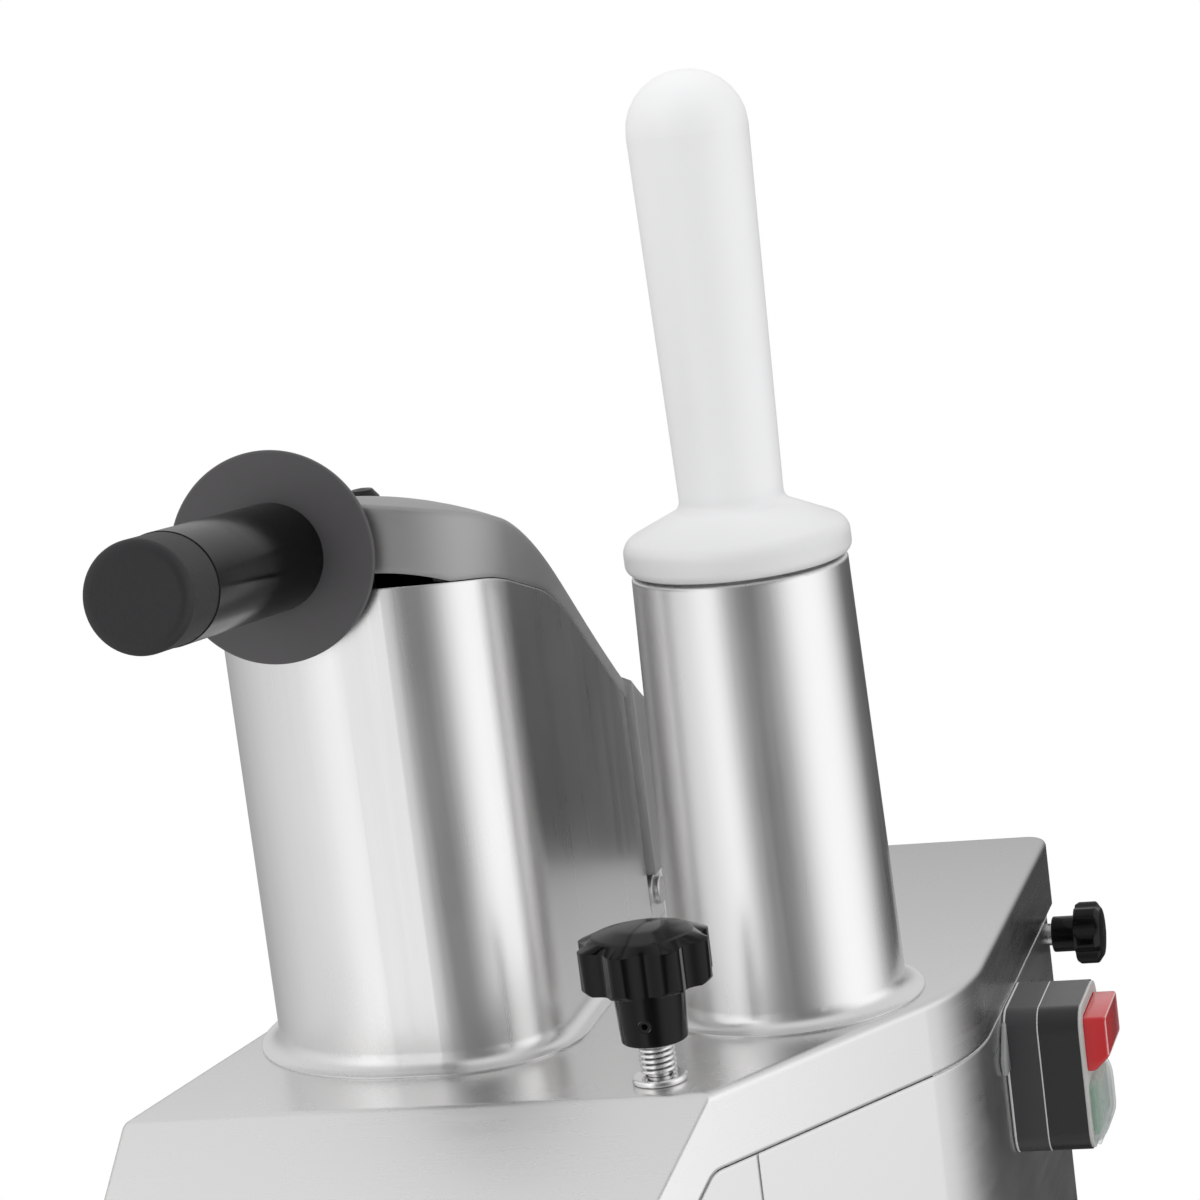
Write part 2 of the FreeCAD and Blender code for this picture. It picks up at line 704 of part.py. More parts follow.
# The cutting chamber, with its deck and outlet floor, is cast apart and fills the body's mouth inside the
# walls, between the front wall and the ledge that carries the hinge
ledge_front = rear_body - wall - num("ledge_depth")
chamber_room = block((-far, -num("front_wall") + wall, floor_low), (far, ledge_front, far))
chamber_room = chamber_room.common(prism(plan_wire(rear_body, wall), -far, far)).cut(lock_boss_low)
chamber_shape = body_shape.common(chamber_room)
body_shape = body_shape.cut(chamber_room)
for (u, v), post in zip(post_places, posts):
    chamber_shape = chamber_shape.fuse(post)
    body_shape = body_shape.cut(post)
    plate_screw_hole = Part.makeCylinder(num("screw_radius") + 0.1, 14, Vector(u, v, plate_top - 1))
    chamber_shape = chamber_shape.cut(plate_screw_hole)

# The front wall, with the cheeks beside the outlet and the boss of the lock, is the third casting of the body
front_room = block((-far, -far, -far), (far, -num("front_wall") + wall, far)).fuse(lock_boss_low)
front_shape = body_shape.common(front_room)
body_shape = body_shape.cut(front_room)
casting("body_casting", body_shape.removeSplitter(), LID)
casting("chamber_casting", chamber_shape.removeSplitter(), LID)
casting("front_casting", front_shape.removeSplitter(), LID)

# Base plate: closes the body from below, held by the foot screws
plate_inset = 1
plate_ends = (-num("front_wall") + plate_inset, rear_body - plate_inset)
plate_low = num("base_height") - num("plate_thickness")
base_plate = side_prism([(plate_ends[0], level_w(num("base_height"), plate_ends[0])),
                         (plate_ends[1], level_w(num("base_height"), plate_ends[1])),
                         (plate_ends[1], level_w(plate_low, plate_ends[1])),
                         (plate_ends[0], level_w(plate_low, plate_ends[0]))])
base_plate = base_plate.common(prism(plan_wire(rear_body, plate_inset), -far, far))
for u, v in foot_places:
    base_plate = base_plate.cut(rod(level_point(u, v, -20), level_point(u, v, 60), num("foot_screw") + 0.2))
casting("base_plate", base_plate, LID)


def turned_shape(profile):
    """Solid of revolution about Z from (radius, height) numbers."""
    wire = Part.makePolygon([Vector(radius, 0, height) for radius, height in profile + profile[:1]])
    return Part.Face(wire).revolve(Vector(0, 0, 0), Vector(0, 0, 1), 360)


# Rubber feet and the screws up through them
foot_high = num("base_height") - num("plate_thickness")
foot_wide = num("foot_radius")
foot_profile = [(num("foot_screw") + 0.2, 5.5), (7, 5.5), (7, 0), (foot_wide - 3, 0), (foot_wide - 2, 1.5),
                (foot_wide, foot_high), (num("foot_screw") + 0.2, foot_high)]
foot_screw = [(0, 2.5), (5.5, 2.5), (5.5, 5.5), (num("foot_screw"), 5.5), (num("foot_screw"), 35), (0, 35)]
feet = []
foot_screws = []
for u, v in foot_places:
    below = LID.multVec(level_point(u, v, 0))
    foot_solid = turned_shape(foot_profile)
    foot_solid.translate(below)
    feet.append(foot_solid)
    screw_solid = turned_shape(foot_screw)
    screw_solid.translate(below)
    foot_screws.append(screw_solid)
casting("rubber_feet", Part.makeCompound(feet), Placement())
casting("foot_screws", Part.makeCompound(foot_screws), Placement())

# Hood of the pressing lever: a crowned shell, flush over the hopper's rim, with a leg down behind it
crown_stations = [(-90, 189.5), (-50, 187.5), (-30, 184), (-5, 174), (15, 162.5), (45, 140), (75, 117),
                  (105, 96),
                  (135, 82)]


def crown(drop):
    """Solid under the crowned top, lowered by drop."""
    sections = []
    reach = 85
    side = reach ** 2 / (2 * num("crown_radius"))
    for v, w in crown_stations:
        middle = -num("crown_u")
        left_top = Vector(middle - reach, v, w - side - drop)
        top = Vector(middle, v, w - drop)
        right_top = Vector(middle + reach, v, w - side - drop)
        right_low = Vector(middle + reach, v, -60)
        left_low = Vector(middle - reach, v, -60)
        edges = [Part.Arc(left_top, top, right_top).toShape(),
                 Part.LineSegment(right_top, right_low).toShape(),
                 Part.LineSegment(right_low, left_low).toShape(),
                 Part.LineSegment(left_low, left_top).toShape()]
        sections.append(Part.Wire(edges))
    return Part.makeLoft(sections, True, False)


leg_front = num("hopper_rear") + num("fit_gap")
hood_plan = prism(hopper_wire(), -10, far).cut(block((-far, num("hopper_rear") - 8, -20), (far, far, far)))
bridge = block((leg_left, num("hopper_rear") - 9, 0), (-num("hopper_right"), leg_front + 1, far))
leg_plan = block((leg_left, leg_front, 0), (leg_right, num("leg_rear"), far))
hood = hood_plan.fuse(bridge).common(above_joint).fuse(leg_plan).common(crown(0))
leg_side = [(leg_front - 200, far), (leg_front - 200, 18), (leg_front, 18), (num("pivot_v") + 7.5, 18),
            (num("leg_rear"), 70), (num("leg_rear"), far)]
hood = hood.common(side_prism(leg_side))
crown_skin = crown(0)
crown_top = [face for face in crown_skin.Faces if face.BoundBox.ZMin > 0 and face.normalAt(0.5, 0.5).z > 0.3]
top_edges = []
for edge in hood.Edges:
    halfway = edge.valueAt((edge.FirstParameter + edge.LastParameter) / 2)
    on_crown = min(face.distToShape(Part.Vertex(halfway))[0] for face in crown_top) < 0.01
    if on_crown and halfway.y < num("hopper_rear") - 10:
        top_edges.append(edge)
hood = hood.makeChamfer(num("hood_edge"), top_edges)
hollow_wire = prism(hopper_wire(num("hood_wall")), -10, far)
hollow = hollow_wire.common(crown(num("hood_wall") + 1))
hollow = hollow.common(block((-far, -far, 0), (far, num("hopper_rear") - 9, far)))
hood = hood.cut(hollow)
lens_radius = num("lens_radius")
lens_middle = Vector(-num("lens_u"), 0, num("hopper_front") + num("lens_rise") - lens_radius)
lens = rod(lens_middle - Vector(0, far, 0), lens_middle - Vector(0, num("lens_back"), 0), lens_radius)
hood = hood.cut(lens.common(above_joint))
pivot_axis = Vector(0, num("pivot_v"), num("pivot_w"))
lug_left, lug_right = leg_left + num("ear_width") + 0.5, leg_right - num("ear_width") - 3
lug = rod(pivot_axis + Vector(lug_left, 0, 0), pivot_axis + Vector(lug_right, 0, 0), num("lug_radius"))
lug_web = block((lug_left, num("pivot_v") - num("lug_radius"), num("pivot_w")),
                (lug_right, num("pivot_v") + num("lug_radius") - 1, 20))
hood = hood.fuse(lug).fuse(lug_web)
pivot_bore = rod(pivot_axis + Vector(-far, 0, 0), pivot_axis + Vector(far, 0, 0),
                 num("pivot_radius") + num("bore_clearance"))
hood = hood.cut(pivot_bore)
cap_u, cap_v = -117, -22
upright_line = Part.makeLine(Vector(cap_u, cap_v, 0), Vector(cap_u, cap_v, far))
cap_low = upright_line.common(crown_skin).BoundBox.ZMax - num("cap_sink")
hood = hood.cut(Part.makeCylinder(5.8, 20, Vector(cap_u, cap_v, cap_low)))

# Lever rod, guard, sleeve and cap share the grip's axis, which points forward
grip_turn = Rotation(Vector(1, 0, 0), 90 - num("grip_droop"))
grip_at = Vector(-num("grip_u"), -num("grip_v"), num("grip_w"))
GRIP = lid_at(grip_at.x, grip_at.y, grip_at.z, grip_turn)
grip_axis = grip_turn.multVec(Vector(0, 0, 1))
boss_end = grip_at - grip_axis * (num("guard_thickness") / 2)
grip_boss = rod(grip_at - grip_axis * 22, boss_end, 13).common(crown(0))
grip_boss = grip_boss.fuse(rod(boss_end - grip_axis * 6, boss_end, 13))
hood = hood.fuse(grip_boss)
rod_bore = rod(grip_at - grip_axis * 23, grip_at + grip_axis, num("rod_radius") + num("bore_clearance"))
hood = hood.cut(rod_bore)
casting("lever_hood", hood, LID)
ring("grip_guard", "rod_radius + bore_clearance", "guard_radius", "-guard_thickness / 2",
     "guard_thickness / 2", GRIP,
     [([("guard_radius", "-guard_thickness / 2"), ("guard_radius", "guard_thickness / 2")], "0.9")])
ring("grip_sleeve", "rod_radius + bore_clearance", "grip_radius", "guard_thickness / 2",
     "guard_thickness / 2 + sleeve_length", GRIP,
     [([("grip_radius", "guard_thickness / 2 + sleeve_length")], "0.8")])
turned("grip_end_cap", [
    ("0", "guard_thickness / 2 + sleeve_length + 6"),
    ("rod_radius + bore_clearance", "guard_thickness / 2 + sleeve_length + 6"),
    ("rod_radius + bore_clearance", "guard_thickness / 2 + sleeve_length"),
    ("grip_radius - 0.3", "guard_thickness / 2 + sleeve_length"),
    ("grip_radius - 0.3", "guard_thickness / 2 + sleeve_length + cap_length"),
    ("0", "guard_thickness / 2 + sleeve_length + cap_length")], GRIP,
    [([("grip_radius - 0.3", "guard_thickness / 2 + sleeve_length + cap_length")], "3.5")])
ring("lever_rod", "0", "rod_radius", "-22", "guard_thickness / 2 + sleeve_length + 5.8", GRIP,
     [([("rod_radius", "-22")], "1")])

# Pusher plate: a D plate over the disc, hung under the hood on an upright web
plate_points = [(-76.8, 44), (-76.8, -37), (-101, -53.5), (-137, -53.5), (-158, -38), (-160, 4), (-153, 24),
                (-140, 44)]
plate_line = corner_wire([Vector(u, v, 0) for u, v in plate_points], [5, 8, 20, 25, 25, 30, 20, 8])
pusher_plate = prism(plate_line, num("press_low"), num("press_high"))
web_foot = num("press_high") - 1
web_side = side_prism([(25, web_foot), (-38, web_foot), (-44, far), (10, far)])
web_left, web_right = -num("web_u + web_half"), -num("web_u - web_half")
plate_web = web_side.common(block((web_left, -far, 0), (web_right, far, far)))
plate_web = plate_web.common(crown(num("hood_wall") + 1))
casting("pusher_plate", pusher_plate.fuse(plate_web), LID)

# Pivot of the lever: two ears on the lid and a pin through them
ears = []
for low, high in ear_spans:
    ear = rod(pivot_axis + Vector(low, 0, 0), pivot_axis + Vector(high, 0, 0), 7.4)
    ear = ear.fuse(block((low, num("pivot_v") - 7.4, 0), (high, num("pivot_v") + 7.4, num("pivot_w"))))
    ears.append(ear.cut(pivot_bore))
casting("lever_ears", Part.makeCompound(ears), LID)
pin_length = leg_right - leg_left
along_u = Rotation(Vector(0, 1, 0), 90)
ring("lever_pivot_pin", "0", "pivot_radius", "0", str(pin_length),
     lid_at(leg_left - 0.5, num("pivot_v"), num("pivot_w"), along_u),
     [([("pivot_radius", "0"), ("pivot_radius", str(pin_length))], "0.8")])

# Dome-headed cap of the bolt that holds the web, in a spot face of the hood
turned("hood_cap", [("0", "0"), ("5.5", "0"), ("5.5", "1.5"), ("3.5", "4"), ("0", "4.6")],
       lid_at(cap_u, cap_v, cap_low))

# Lock knob at the front: stud, star head, set screw, spring, collar and washer
LOCK = lid_at(lock_at.x, lock_at.y, 0)
ring("lock_washer", "stud_radius + 0.3", "washer_radius", "0", "washer_height", LOCK,
     [([("washer_radius", "washer_height"), ("washer_radius", "0")], "0.8")])
seat = "washer_height + spring_height + 0.2"
ring("lock_collar", "stud_radius + bore_clearance", "spring_radius + 0.8", seat, seat + " + 0.8", LOCK)
knob_foot = seat + " + 0.8 + 0.1"
KNOB = lid_at(lock_at.x, lock_at.y, num(knob_foot))
ring("lock_stud", "0", "stud_radius", "-stud_depth - (" + knob_foot + ")", "13", KNOB,
     [([("stud_radius", "-stud_depth - (" + knob_foot + ")")], "1")])
star = turned("lock_star_knob", [
    ("stud_radius + bore_clearance", "0"), ("hub_radius", "0"), ("hub_radius", "hub_height"),
    ("star_radius - 1.5", "hub_height + 1"), ("star_radius", "hub_height + 2.5"),
    ("star_radius", "hub_height + star_height - 3"), ("star_radius - 3", "hub_height + star_height"),
    ("12", "hub_height + star_height + 4.6"), ("5", "hub_height + star_height + 6.2"),
    ("5", "hub_height + star_height + 5"), ("0", "hub_height + star_height + 5"), ("0", "13.2"),
    ("stud_radius + bore_clearance", "13.2")], KNOB)
doc.recompute()
fluted(star, star.Tip, "star_lobes", "5.5", "star_radius + 2.6", "lock_star_knob")
set_hole = star.newObject("Sketcher::SketchObject", "lock_star_knob_set_hole")
set_hole.AttachmentSupport = (plane_of(star, "XZ_Plane"), [""])
set_hole.MapMode = "FlatFace"
set_hole.addGeometry(Part.Circle(Vector(0, num("hub_height / 2"), 0), Vector(0, 0, 1), 2.1), False)
set_hole.addConstraint(Sketcher.Constraint("PointOnObject", 0, 3, -2))
set_hole.addConstraint(Sketcher.Constraint("Radius", 0, 2.1))
middle_line = set_hole.addConstraint(Sketcher.Constraint("DistanceY", -1, 1, 0, 3, num("hub_height / 2")))
set_hole.setExpression("Constraints[%d]" % middle_line, bind("hub_height / 2"))
before_hole = star.Tip
set_pocket = star.newObject("PartDesign::Pocket", "lock_star_knob_set_pocket")
set_pocket.Profile = set_hole
set_pocket.Type = "ThroughAll"
set_pocket.Reversed = True
star.Tip = set_pocket
doc.recompute()
if set_pocket.Shape.Volume >= before_hole.Shape.Volume:
    raise RuntimeError("the set screw's hole cuts nothing")
ring("lock_set_screw", "1", "2", "stud_radius + bore_clearance + 0.1", "hub_radius - 0.6",
     KNOB.multiply(Placement(Vector(0, 0, num("hub_height / 2")), Rotation(Vector(1, 0, 0), 90))))


# Lock spring: one open coil of round wire whose ends run straight for one wire diameter
def coil(radius, turns, low, high, wire_radius):
    """Tube along a helix of quarter-turn arc pairs between two heights."""
    steps = int(turns * 4)
    rise = (high - low) / steps

    def place_at(step):
        angle = math.radians(90 * step)
        return Vector(radius * math.cos(angle), radius * math.sin(angle), low + rise * step)

    def heading_at(step):
        angle = math.radians(90 * step)
        return Vector(-radius * math.sin(angle), radius * math.cos(angle), rise * 2 / math.pi).normalize()

    edges = []
    lead = heading_at(0) * (2 * wire_radius)
    edges.append(Part.LineSegment(place_at(0) - lead, place_at(0)).toShape())
    for step in range(steps):
        start, end = place_at(step), place_at(step + 1)
        start_heading, end_heading = heading_at(step), heading_at(step + 1)
        chord = end - start
        both = start_heading + end_heading
        square = 2 * (1 - start_heading.dot(end_heading))
        cross = chord.dot(both)
        reach = (-cross + math.sqrt(cross ** 2 + square * chord.dot(chord))) / square
        join = (start + end + (start_heading - end_heading) * reach) * 0.5
        edges.append(tangent_arc(start, start_heading, join))
        edges.append(tangent_arc(end, end_heading * -1, join))
    tail = heading_at(steps) * (2 * wire_radius)
    edges.append(Part.LineSegment(place_at(steps), place_at(steps) + tail).toShape())
    path = Part.Wire(Part.__sortEdges__(edges))
    section = Part.Wire(Part.makeCircle(wire_radius, place_at(0) - lead, heading_at(0)))
    shell = Part.BRepOffsetAPI.MakePipeShell(path)
    shell.add(section)
    shell.build()
    shell.makeSolid()
    return shell.shape(), path


def tangent_arc(start, heading, end):
    """Arc from start along heading to end."""
    chord = end - start
    normal = heading.cross(chord).cross(heading).normalize()
    radius = chord.dot(chord) / (2 * chord.dot(normal))
    centre = start + normal * radius
    middle = centre + ((start + end) * 0.5 - centre).normalize() * radius
    return Part.Arc(start, middle, end).toShape()


coil_low = num("washer_height + 0.1 + spring_wire / 2")
coil_high = coil_low + num("spring_height - spring_wire")
coil_radius = num("spring_radius - spring_wire / 2")
spring, spring_path = coil(coil_radius, num("spring_turns"), coil_low, coil_high, num("spring_wire / 2"))
sampled = spring_path.discretize(Number=400)
nearest = min(a.distanceToPoint(b) for i, a in enumerate(sampled) for b in sampled[i + 40:])
least = nearest - num("spring_wire")
print("least gap between the spring's turns, mm:", round(least, 2), "volume against path:",
      round(spring.Volume / (math.pi * num("spring_wire / 2") ** 2 * spring_path.Length), 4))
casting("lock_spring", spring, LOCK)

# Hinge pin with its star knob on the right flank
SIDE = lid_at(num("flank_right") + 1.5, num("hinge_v"), -num("hinge_w"), along_u)
ring("hinge_pin", "0", "pin_radius", "-(flank_right + 1.5) - pin_reach", "8", SIDE,
     [([("pin_radius", "8")], "0.6")])
side_star = turned("side_star_knob", [
    ("pin_radius + bore_clearance", "0"), ("side_hub_radius", "0"), ("side_hub_radius", "side_hub_height"),
    ("side_star_radius - 0.8", "side_hub_height + 0.5"), ("side_star_radius", "side_hub_height + 1.4"),
    ("side_star_radius", "side_hub_height + side_star_height - 2.6"),
    ("side_star_radius - 2", "side_hub_height + side_star_height - 0.9"),
    ("4", "side_hub_height + side_star_height"), ("0", "side_hub_height + side_star_height"),
    ("0", "8.1"), ("pin_radius + bore_clearance", "8.1")], SIDE)
doc.recompute()
fluted(side_star, side_star.Tip, "6", "3", "side_star_radius + 1.6", "side_star_knob")

# Drive shaft and the discs on it
AXIS = lid_at(chamber.x, chamber.y, 0)
turned("drive_shaft", [
    ("0", "-212"), ("shaft_radius", "-212"), ("shaft_radius", "-disc_top - 1"), ("5", "-disc_top - 1"),
    ("5", "-8.5"), ("0", "-8.5")], AXIS)
disc = turned("cutting_disc", [
    ("shaft_radius + bore_clearance", "-disc_top - 21"), ("disc_hub_radius", "-disc_top - 21"),
    ("disc_hub_radius", "-disc_top - disc_thickness"), ("disc_radius", "-disc_top - disc_thickness"),
    ("disc_radius", "-disc_top"), ("shaft_radius + bore_clearance", "-disc_top")], AXIS)
slot_sketch = closed_profile(disc, "cutting_disc_slot", "XY_Plane", [
    ("26", "-8"), ("disc_radius - 7", "-8"), ("disc_radius - 7", "8"), ("26", "8")])
slot_cut = disc.newObject("PartDesign::Pocket", "cutting_disc_slot_cut")
slot_cut.Profile = slot_sketch
slot_cut.Type = "ThroughAll"
slot_cut.Midplane = True
doc.recompute()
slots = disc.newObject("PartDesign::PolarPattern", "cutting_disc_slots")
slots.Originals = [slot_cut]
slots.Axis = (slot_sketch, ["N_Axis"])
slots.Angle = 360
slots.Occurrences = 2
disc.Tip = slots
blades = []
for turn in (0, 180):
    blade = block((25, 3, -num("disc_top")), (num("disc_radius") - 6, 18, -num("disc_top") + 1.4))
    blade.rotate(Vector(0, 0, 0), Vector(0, 0, 1), turn)
    blades.append(blade)
casting("disc_blades", Part.makeCompound(blades), AXIS)
ring("disc_nut", "5 + bore_clearance", "shaft_radius + 2", "-disc_top", "-disc_top + 4.5", AXIS,
     [([("shaft_radius + 2", "-disc_top + 4.5")], "1.5")])
ejector = turned_shape([
    (num("shaft_radius + bore_clearance"), -num("ejector_top") - 3), (100, -num("ejector_top") - 3),
    (100, -num("ejector_top")), (num("disc_hub_radius"), -num("ejector_top")),
    (num("disc_hub_radius"), -num("disc_top") - 21.2),
    (num("shaft_radius + bore_clearance"), -num("disc_top") - 21.2)])
for turn in range(0, 360, 90):
    vane = block((num("disc_hub_radius") - 1, -1.5, -num("ejector_top") - 1),
                 (98, 1.5, -num("ejector_top") + 15))
    vane.rotate(Vector(0, 0, 0), Vector(0, 0, 1), turn)
    ejector = ejector.fuse(vane)
casting("ejector_disc", ejector, AXIS)

# Bearing housing under the chamber floor, its bearings, seal and screws
floor_under = "-(chamber_floor + floor_thickness)"
ring("shaft_seal", "shaft_radius + 0.1", "shaft_radius + 6.9", floor_under, floor_under + " + 5", AXIS)
bearing_one = floor_under + " - 5"
bearing_two = floor_under + " - housing_length + bearing_width"
housing = turned("bearing_housing", [
    ("shaft_radius + 3", floor_under), ("44", floor_under), ("44", floor_under + " - flange_thickness"),
    ("housing_radius", floor_under + " - flange_thickness"),
    ("housing_radius", floor_under + " - housing_length"),
    ("bearing_radius + bore_clearance", floor_under + " - housing_length"),
    ("bearing_radius + bore_clearance", bearing_two + " + 0.1"),
    ("bearing_radius - 3", bearing_two + " + 0.1"),
    ("bearing_radius - 3", bearing_one + " - bearing_width - 0.1"),
    ("bearing_radius + bore_clearance", bearing_one + " - bearing_width - 0.1"),
    ("bearing_radius + bore_clearance", bearing_one + " + 0.1"),
    ("shaft_radius + 3", bearing_one + " + 0.1")], AXIS)
for name, top in (("upper_bearing", bearing_one), ("lower_bearing", bearing_two)):
    ring(name, "shaft_radius + bore_clearance", "bearing_radius", top + " - bearing_width", top, AXIS)


def screw_shape(at, head_drop):
    """Socket screw pointing up, its head hanging below the point."""
    head = Part.makeCylinder(num("screw_head"), head_drop, at - Vector(0, 0, head_drop))
    return head.fuse(Part.makeCylinder(num("screw_radius"), 10, at))


# The flange is drilled for its four screws, set back a little from the casting above
flange_low = floor_low - num("flange_thickness")
drill = housing.newObject("Sketcher::SketchObject", "bearing_housing_drill")
drill.AttachmentSupport = (plane_of(housing, "XY_Plane"), [""])
drill.MapMode = "FlatFace"
drill.addGeometry(Part.Circle(housing_screws[0], Vector(0, 0, 1), num("screw_radius") + 0.1), False)
drill_cut = housing.newObject("PartDesign::Pocket", "bearing_housing_drilled")
drill_cut.Profile = drill
drill_cut.Type = "ThroughAll"
drill_cut.Midplane = True
doc.recompute()
drills = housing.newObject("PartDesign::PolarPattern", "bearing_housing_holes")
drills.Originals = [drill_cut]
drills.Axis = (drill, ["N_Axis"])
drills.Angle = 360
drills.Occurrences = 4
housing.Tip = drills
casting("housing_screws", Part.makeCompound([screw_shape(chamber + Vector(x, y, flange_low), 4)
                                             for x, y, _ in housing_screws]), LID)

# Motor plate on the body's posts, motor on top of it, pulleys and belt below it
motor_at = Vector(-num("motor_u"), num("motor_v"), 0)
MOTOR = lid_at(motor_at.x, motor_at.y, 0)
plate_thick = num("motor_plate_thickness")
plate_reach = num("post_reach + plate_margin")
motor_plate = block((motor_at.x - plate_reach, motor_at.y - plate_reach + 4, plate_top - plate_thick),
                    (motor_at.x + plate_reach, motor_at.y + plate_reach, plate_top))
motor_plate = motor_plate.cut(Part.makeCylinder(18, 40, motor_at + Vector(0, 0, plate_top - 20)))
for u, v in post_places:
    plate_hole = Part.makeCylinder(num("screw_radius") + 0.1, 40, Vector(u, v, plate_top - 20))
    motor_plate = motor_plate.cut(plate_hole)
casting("motor_plate", motor_plate, LID)
casting("plate_screws", Part.makeCompound([screw_shape(Vector(u, v, plate_top - plate_thick), 4)
                                           for u, v in post_places]), LID)
turned("motor_casing", [
    ("motor_shaft + 3", "-motor_plate_w"), ("motor_radius", "-motor_plate_w"),
    ("motor_radius", "-motor_plate_w + motor_length"), ("motor_radius - 4", "-motor_plate_w + motor_length"),
    ("motor_radius - 4", "-motor_plate_w + 5"), ("motor_shaft + 3", "-motor_plate_w + 5")], MOTOR)
ring("motor_stator", "30", "motor_radius - 4.1", "-motor_plate_w + 14",
     "-motor_plate_w + motor_length - 16", MOTOR)
turned("motor_end_cap", [
    ("motor_shaft + bore_clearance", "-motor_plate_w + motor_length"),
    ("motor_radius", "-motor_plate_w + motor_length"),
    ("motor_radius - 3", "-motor_plate_w + motor_length + 4"),
    ("motor_shaft + bore_clearance", "-motor_plate_w + motor_length + 4")], MOTOR)
turned("motor_rotor", [
    ("0", "-belt_w - belt_width - 2"), ("motor_shaft", "-belt_w - belt_width - 2"),
    ("motor_shaft", "-motor_plate_w + 15"),
    ("29.4", "-motor_plate_w + 15"), ("29.4", "-motor_plate_w + motor_length - 17"),
    ("motor_shaft", "-motor_plate_w + motor_length - 17"),
    ("motor_shaft", "-motor_plate_w + motor_length + 3"),
    ("0", "-motor_plate_w + motor_length + 3")], MOTOR)
ring("small_pulley", "motor_shaft + bore_clearance", "small_pulley", "-belt_w - belt_width", "-belt_w",
     MOTOR)
turned("large_pulley", [
    ("shaft_radius + bore_clearance", "-belt_w - belt_width - 3"), ("19", "-belt_w - belt_width - 3"),
    ("19", "-belt_w - belt_width / 2 - 3"), ("large_pulley - 8", "-belt_w - belt_width / 2 - 3"),
    ("large_pulley - 8", "-belt_w - belt_width"), ("large_pulley", "-belt_w - belt_width"),
    ("large_pulley", "-belt_w"), ("large_pulley - 8", "-belt_w"),
    ("large_pulley - 8", "-belt_w - belt_width / 2 + 3"),
    ("19", "-belt_w - belt_width / 2 + 3"), ("19", "-belt_w + 2"),
    ("shaft_radius + bore_clearance", "-belt_w + 2")],
    AXIS)


def belt_wire(slack):
    """Loop round both pulleys, a slack away from each rim."""
    across = motor_at - chamber
    span = across.Length
    big, small = num("large_pulley") + slack, num("small_pulley") + slack
    bearing = math.atan2(across.y, across.x)
    lean = math.acos((big - small) / span)

    def rim(centre, radius, angle):
        return centre + Vector(radius * math.cos(angle), radius * math.sin(angle), 0)

    edges = [Part.LineSegment(rim(chamber, big, bearing + lean),
                              rim(motor_at, small, bearing + lean)).toShape(),
             Part.Arc(rim(motor_at, small, bearing + lean), rim(motor_at, small, bearing),
                      rim(motor_at, small, bearing - lean)).toShape(),
             Part.LineSegment(rim(motor_at, small, bearing - lean),
                              rim(chamber, big, bearing - lean)).toShape(),
             Part.Arc(rim(chamber, big, bearing - lean), rim(chamber, big, bearing + math.pi),
                      rim(chamber, big, bearing + lean)).toShape()]
    return Part.Wire(edges)


belt_low = -num("belt_w + belt_width") + 1
belt_high = -num("belt_w") - 1
belt = prism(belt_wire(0.3 + num("belt_thickness")), belt_low, belt_high).cut(prism(belt_wire(0.3), -far, 0))
casting("drive_belt", belt, LID)

# Electrical pieces inside the body
ring("capacitor", "0", "20", "-65", "-0.3", lid_at(-140, 136, deck_under), [([("20", "-65")], "2")])
padded("terminal_block", [("-55", "-115"), ("-15", "-115"), ("-15", "-100"), ("-55", "-100")], "14",
       lid_at(0, rear_body - wall - 0.3, 0, Rotation(Vector(1, 0, 0), 90)), "1")
padded("lid_safety_switch", [("30", "90"), ("46", "90"), ("46", "118"), ("30", "118")], "14",
       lid_at(0, 0, deck_under - 14.3), "1.5")
padded("lid_magnet", [("44", "94"), ("flank_right - casting_wall - 0.2", "94"),
                      ("flank_right - casting_wall - 0.2", "114"), ("44", "114")], "8",
       lid_at(0, 0, -num("lid_height") + 0.4), "1")
turned("cable_gland", [
    ("gland_bore", "-11"), ("gland_thread", "-11"), ("gland_thread", "0"), ("13", "0"), ("13", "4"),
    ("11.5", "4"),
    ("11.5", "13"), ("8", "16"), ("gland_bore", "16")],
    lid_at(gland_at.x, gland_at.y, gland_at.z, Rotation(Vector(1, 0, 0), -90)))
ring("gland_nut", "gland_thread + bore_clearance", "13", "-5 - casting_wall", "-casting_wall",
     lid_at(gland_at.x, gland_at.y, gland_at.z, Rotation(Vector(1, 0, 0), -90)))

# Switch on the right flank, drawn from its side: x up the slope, y square to the lid, z outwards
outwards = Rotation(Vector(1, 1, 1), 120)


def switch_at(depth):
    """Placement of a switch piece whose back is at a depth off the flank."""
    return lid_at(num("flank_right") + depth, num("switch_v"), -num("switch_top"), outwards)


def frame_piece(name, margin, opening, low, high, rounding):
    """Rounded block with one rounded opening right through it."""
    width, height = num("switch_width"), num("switch_height")
    outer = corner_wire([Vector(margin, -margin, 0), Vector(width - margin, -margin, 0),
                         Vector(width - margin, margin - height, 0), Vector(margin, margin - height, 0)],
                         [rounding] * 4)
    shape = prism(outer, 0, high - low)
    for left, top, right, bottom, corner in opening:
        hole = corner_wire([Vector(left, top, 0), Vector(right, top, 0), Vector(right, bottom, 0),
                            Vector(left, bottom, 0)], [corner] * 4)
        shape = shape.cut(prism(hole, -1, high - low + 1))
    return casting(name, shape, switch_at(low))


